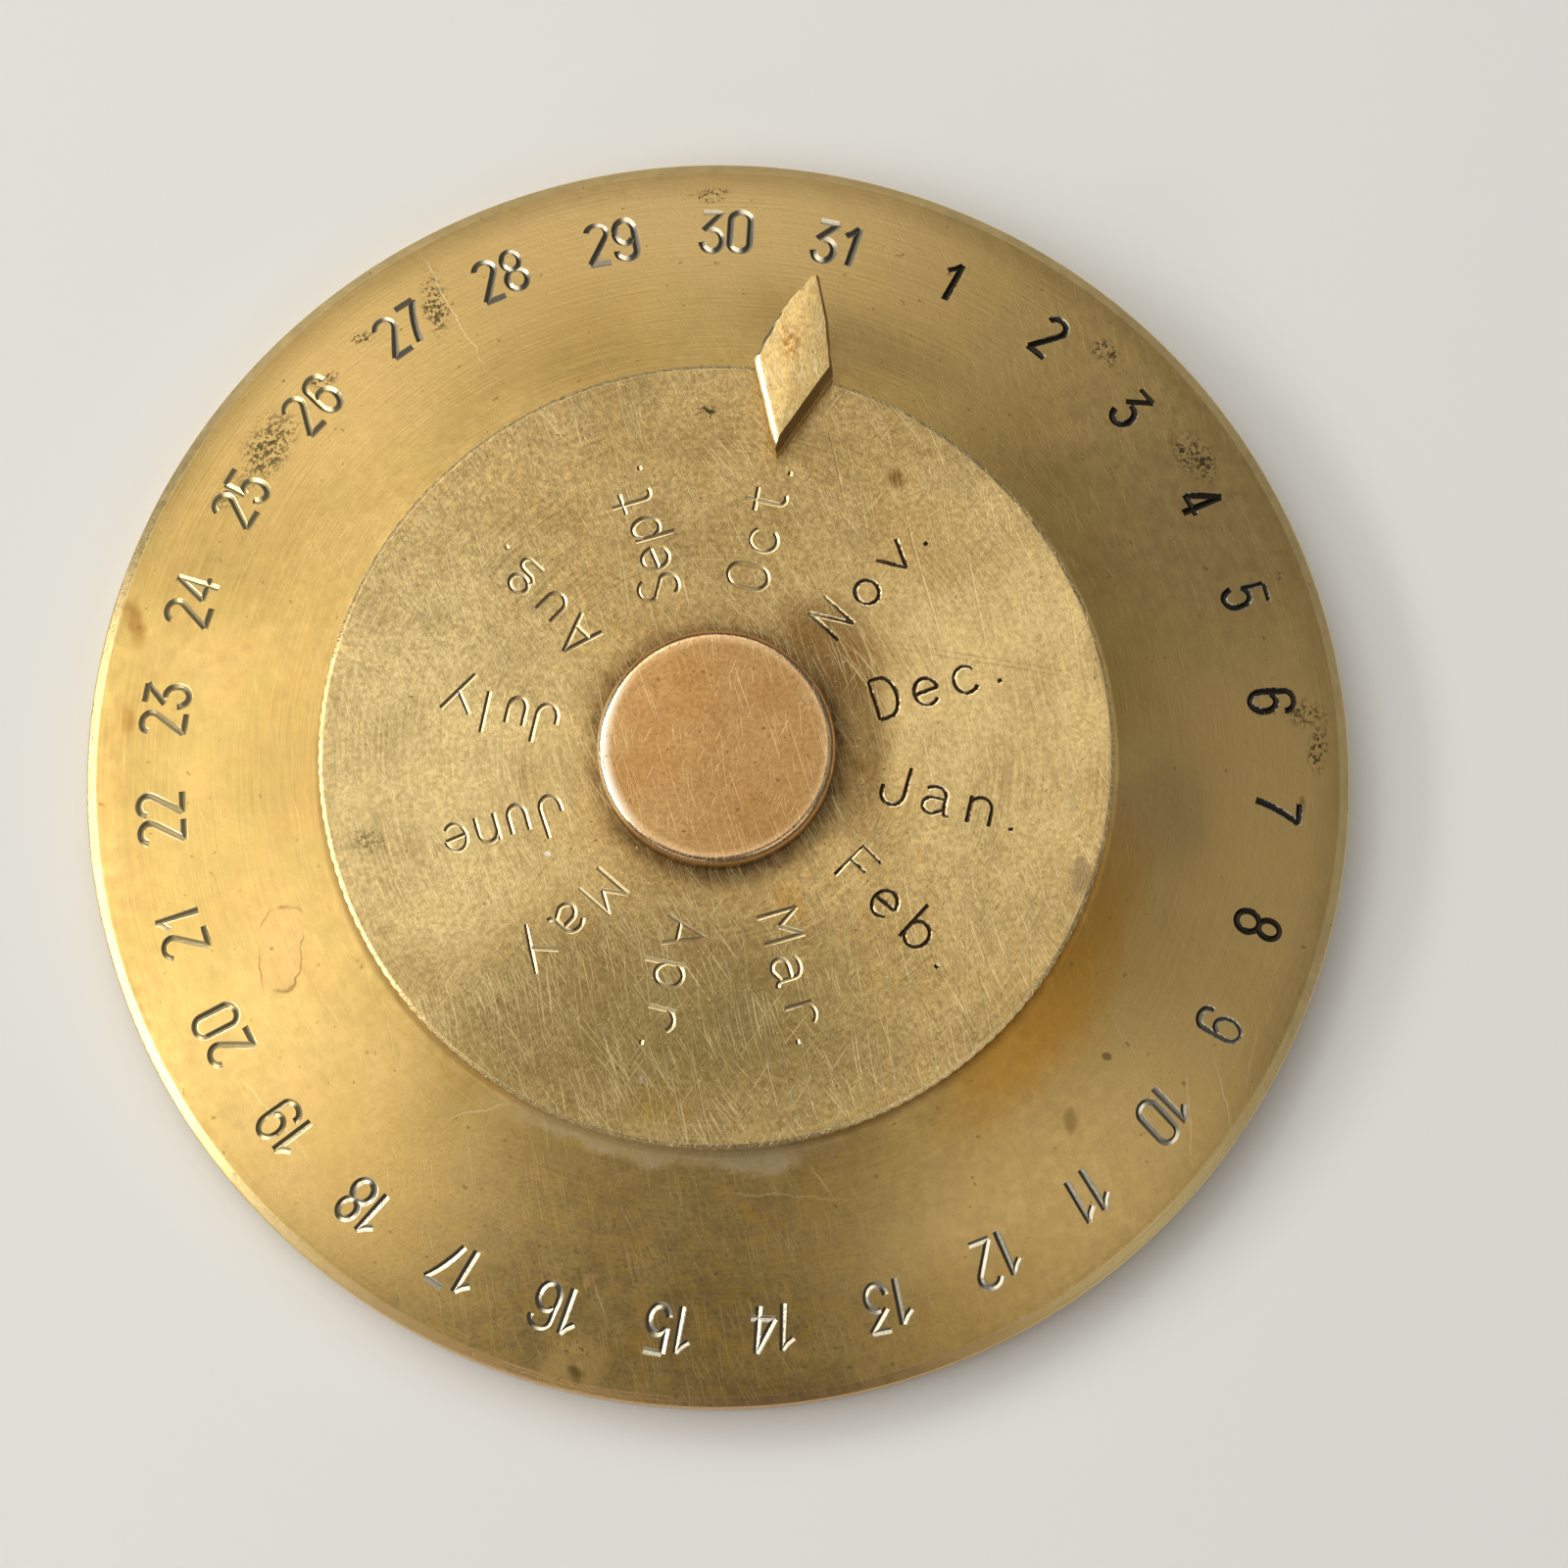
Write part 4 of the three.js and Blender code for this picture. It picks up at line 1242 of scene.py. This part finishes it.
def worn_bronze():
    """Redder than the brass, with a paler rim that fingers keep bright, a painted highlight on the rim's
    west side, and painted shade on the upright side below the rounding.
    """
    plain = object_place()
    slow = clouds(6, 0.36, 0.64)
    grain = clouds(0.36, 0.34, 0.66, roughness=0.6, seed=31)
    bent = wandering(30, 1.5, seed=32)
    marks = joined([scratches(0.11, *layer, bent)
                    for layer in ((7, 20, 0.03, 32), (4, 8, 0.02, 33), (3, -24, 0, 34))])
    pits = clouds(0.6, 0.72, 0.76, detail=1.0, seed=35)
    rim = ring_of(10.1, 12, 0.5)
    height = add("SeparateXYZ", {"Vector": plain}, output="Z")
    painted_shade_side = add("MapRange", {"Value": height, "From Min": (knob_top_z - shade_side_from) * MM,
                            "From Max": (knob_top_z - shade_side_full) * MM})
    tint = layered(colour("#c8a068"), [
        (slow, 0.7, "#b8884f"),
        (grain, 0.42, "#a07542"),
        (rim, 0.5, "#ecc799"),
        # Painted highlight: the rim's west side, which faces the light, is tinted almost white.
        (times(rim, patch(plain, (-13, -1), (6, 9), 0, 0.4)), 0.85, "#fff4dc"),
        # Painted shade: the upright side below the rounding is tinted dark brown.
        (painted_shade_side, 0.6, "#634326"),
        (pits, 0.5, "#5d3c20"),
        (marks, 0.5, "#f3d29c"),
    ])
    return surface(tint, (0.38, [(grain, 0.12), (rim, -0.24)]), [(grain, 0.8), (marks, -1.0), (pits, -1.5)],
                   0.006, brushing=0.3)


dress(knob, finish_of("worn_bronze", worn_bronze))


# %% Turned, soft and plain finishes
def plain_turned(name, tint, dark, roughness):
    """Clean metal from the lathe: fine rings and a few darker clouds."""
    def turned_metal():
        lines = lathe_lines(0.22, 4, seed=51)
        spots = clouds(2, 0.35, 0.65, seed=52)
        ground = layered(colour(tint), [(spots, 0.5, dark), (lines, 0.2, dark)])
        return surface(ground, (roughness, [(spots, 0.12)]), [(lines, 1)], 0.004)
    return finish_of(name, turned_metal)


# %% Filed brass of the pointer
def filed_brass():
    """Pale and dry, with straight traces of the file, crossing scratches and a reddish stain."""
    warped = wandering(0.8, 0.35)
    filing = clouds(1, 0.3, 0.7, detail=1.0, at=grid((0.16, 4, 4), math.degrees(pointer_turn), seed=41))
    grain = clouds(0.5, 0.32, 0.68, detail=3.0, seed=42)
    marks = joined([scratches(0.13, 4, way, 0.07, seed, warped) for way, seed in ((24, 43), (10, 44))])
    flecks = clouds(0.4, 0.66, 0.72, detail=2.0, seed=45)
    rust = times(patch(warped, (6.9, 38.8), (0.9, 1.6), 10, 0.6), grain)
    tint = layered(colour("#edca82"), [
        (grain, 0.45, "#b08c4c"),
        (filing, 0.15, "#f0d9a0"),
        (flecks, 0.6, "#7d6236"),
        (marks, 0.6, "#fae8ba"),
        (rust, 0.85, "#b06a22"),
    ])
    heights = [(filing, 0.5), (grain, 1.2), (marks, -1.8), (flecks, -1.5)]
    return surface(tint, (0.32, [(grain, 0.14)]), heights, 0.01)


# The second and third finishes are one brass in a lit and a shaded copy: painted highlight and painted
# shade.
dress(pointer, finish_of("filed_brass", filed_brass),
      plain_turned("painted_lit_facets", "#f6e2b0", "#e6c98c", 0.16),
      plain_turned("painted_shaded_facets", "#b38b54", "#7d5c32", 0.3))

# The facets that face the light get the paler copy of the brass, a painted highlight, and those that turn
# away from it the browner copy, which is painted shade.
flattest, steepest = math.cos(math.radians(20)), math.cos(math.radians(60))
turned_away = 0.2
for face in pointer.data.polygons:
    if steepest < face.normal.z < flattest:
        face.material_index = 1 if face.normal.x < turned_away else 2


# %% Felt, fibre and the carrier
def fibrous(name, tint, light, fibre_size, height):
    """Matt and tangled: short fibres in three directions, with lighter ones on top."""
    def tangled():
        bundle = (fibre_size, fibre_size * 7, fibre_size)
        fibres = joined([clouds(1, 0.4, 0.7, at=grid(bundle, turn, seed=turn)) for turn in (10, 70, 130)])
        tangle = clouds(1.5, 0.3, 0.7, seed=62)
        ground = layered(colour(tint), [(fibres, 0.5, light), (tangle, 0.2, light)])
        return surface(ground, (0.92, []), [(fibres, 1), (tangle, 0.5)], height, metallic=0.0)
    return finish_of(name, tangled)


carrier_finish = plain_turned("turned_brass", "#c4a05c", "#9c7c42", 0.38)
dress(carrier, carrier_finish)
dress(felt, fibrous("green_wool_felt", "#1f3b2a", "#3d6049", 0.12, 0.05))

# %% Finishes of the inner pieces
inner_finishes = {
    carrier_finish: ["pointer_screw_1", "pointer_screw_2"],
    plain_turned("turned_bearing_bronze", "#b98a55", "#8f6537", 0.36): ["centre_bush"],
    plain_turned("plain_steel", "#b9bbbd", "#8b8d90", 0.32): [
        "spindle", "wave_washer", "plain_washer", "retaining_nut", "lock_nut"],
    fibrous("vulcanised_fibre", "#5c3524", "#7a4a34", 0.1, 0.01): ["lower_washer", "upper_washer"],
}
for finish, nodes in inner_finishes.items():
    for name in nodes:
        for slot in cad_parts[name].material_slots:
            slot.material = finish
print("finishes:", len([material for material in bpy.data.materials if material.users]))
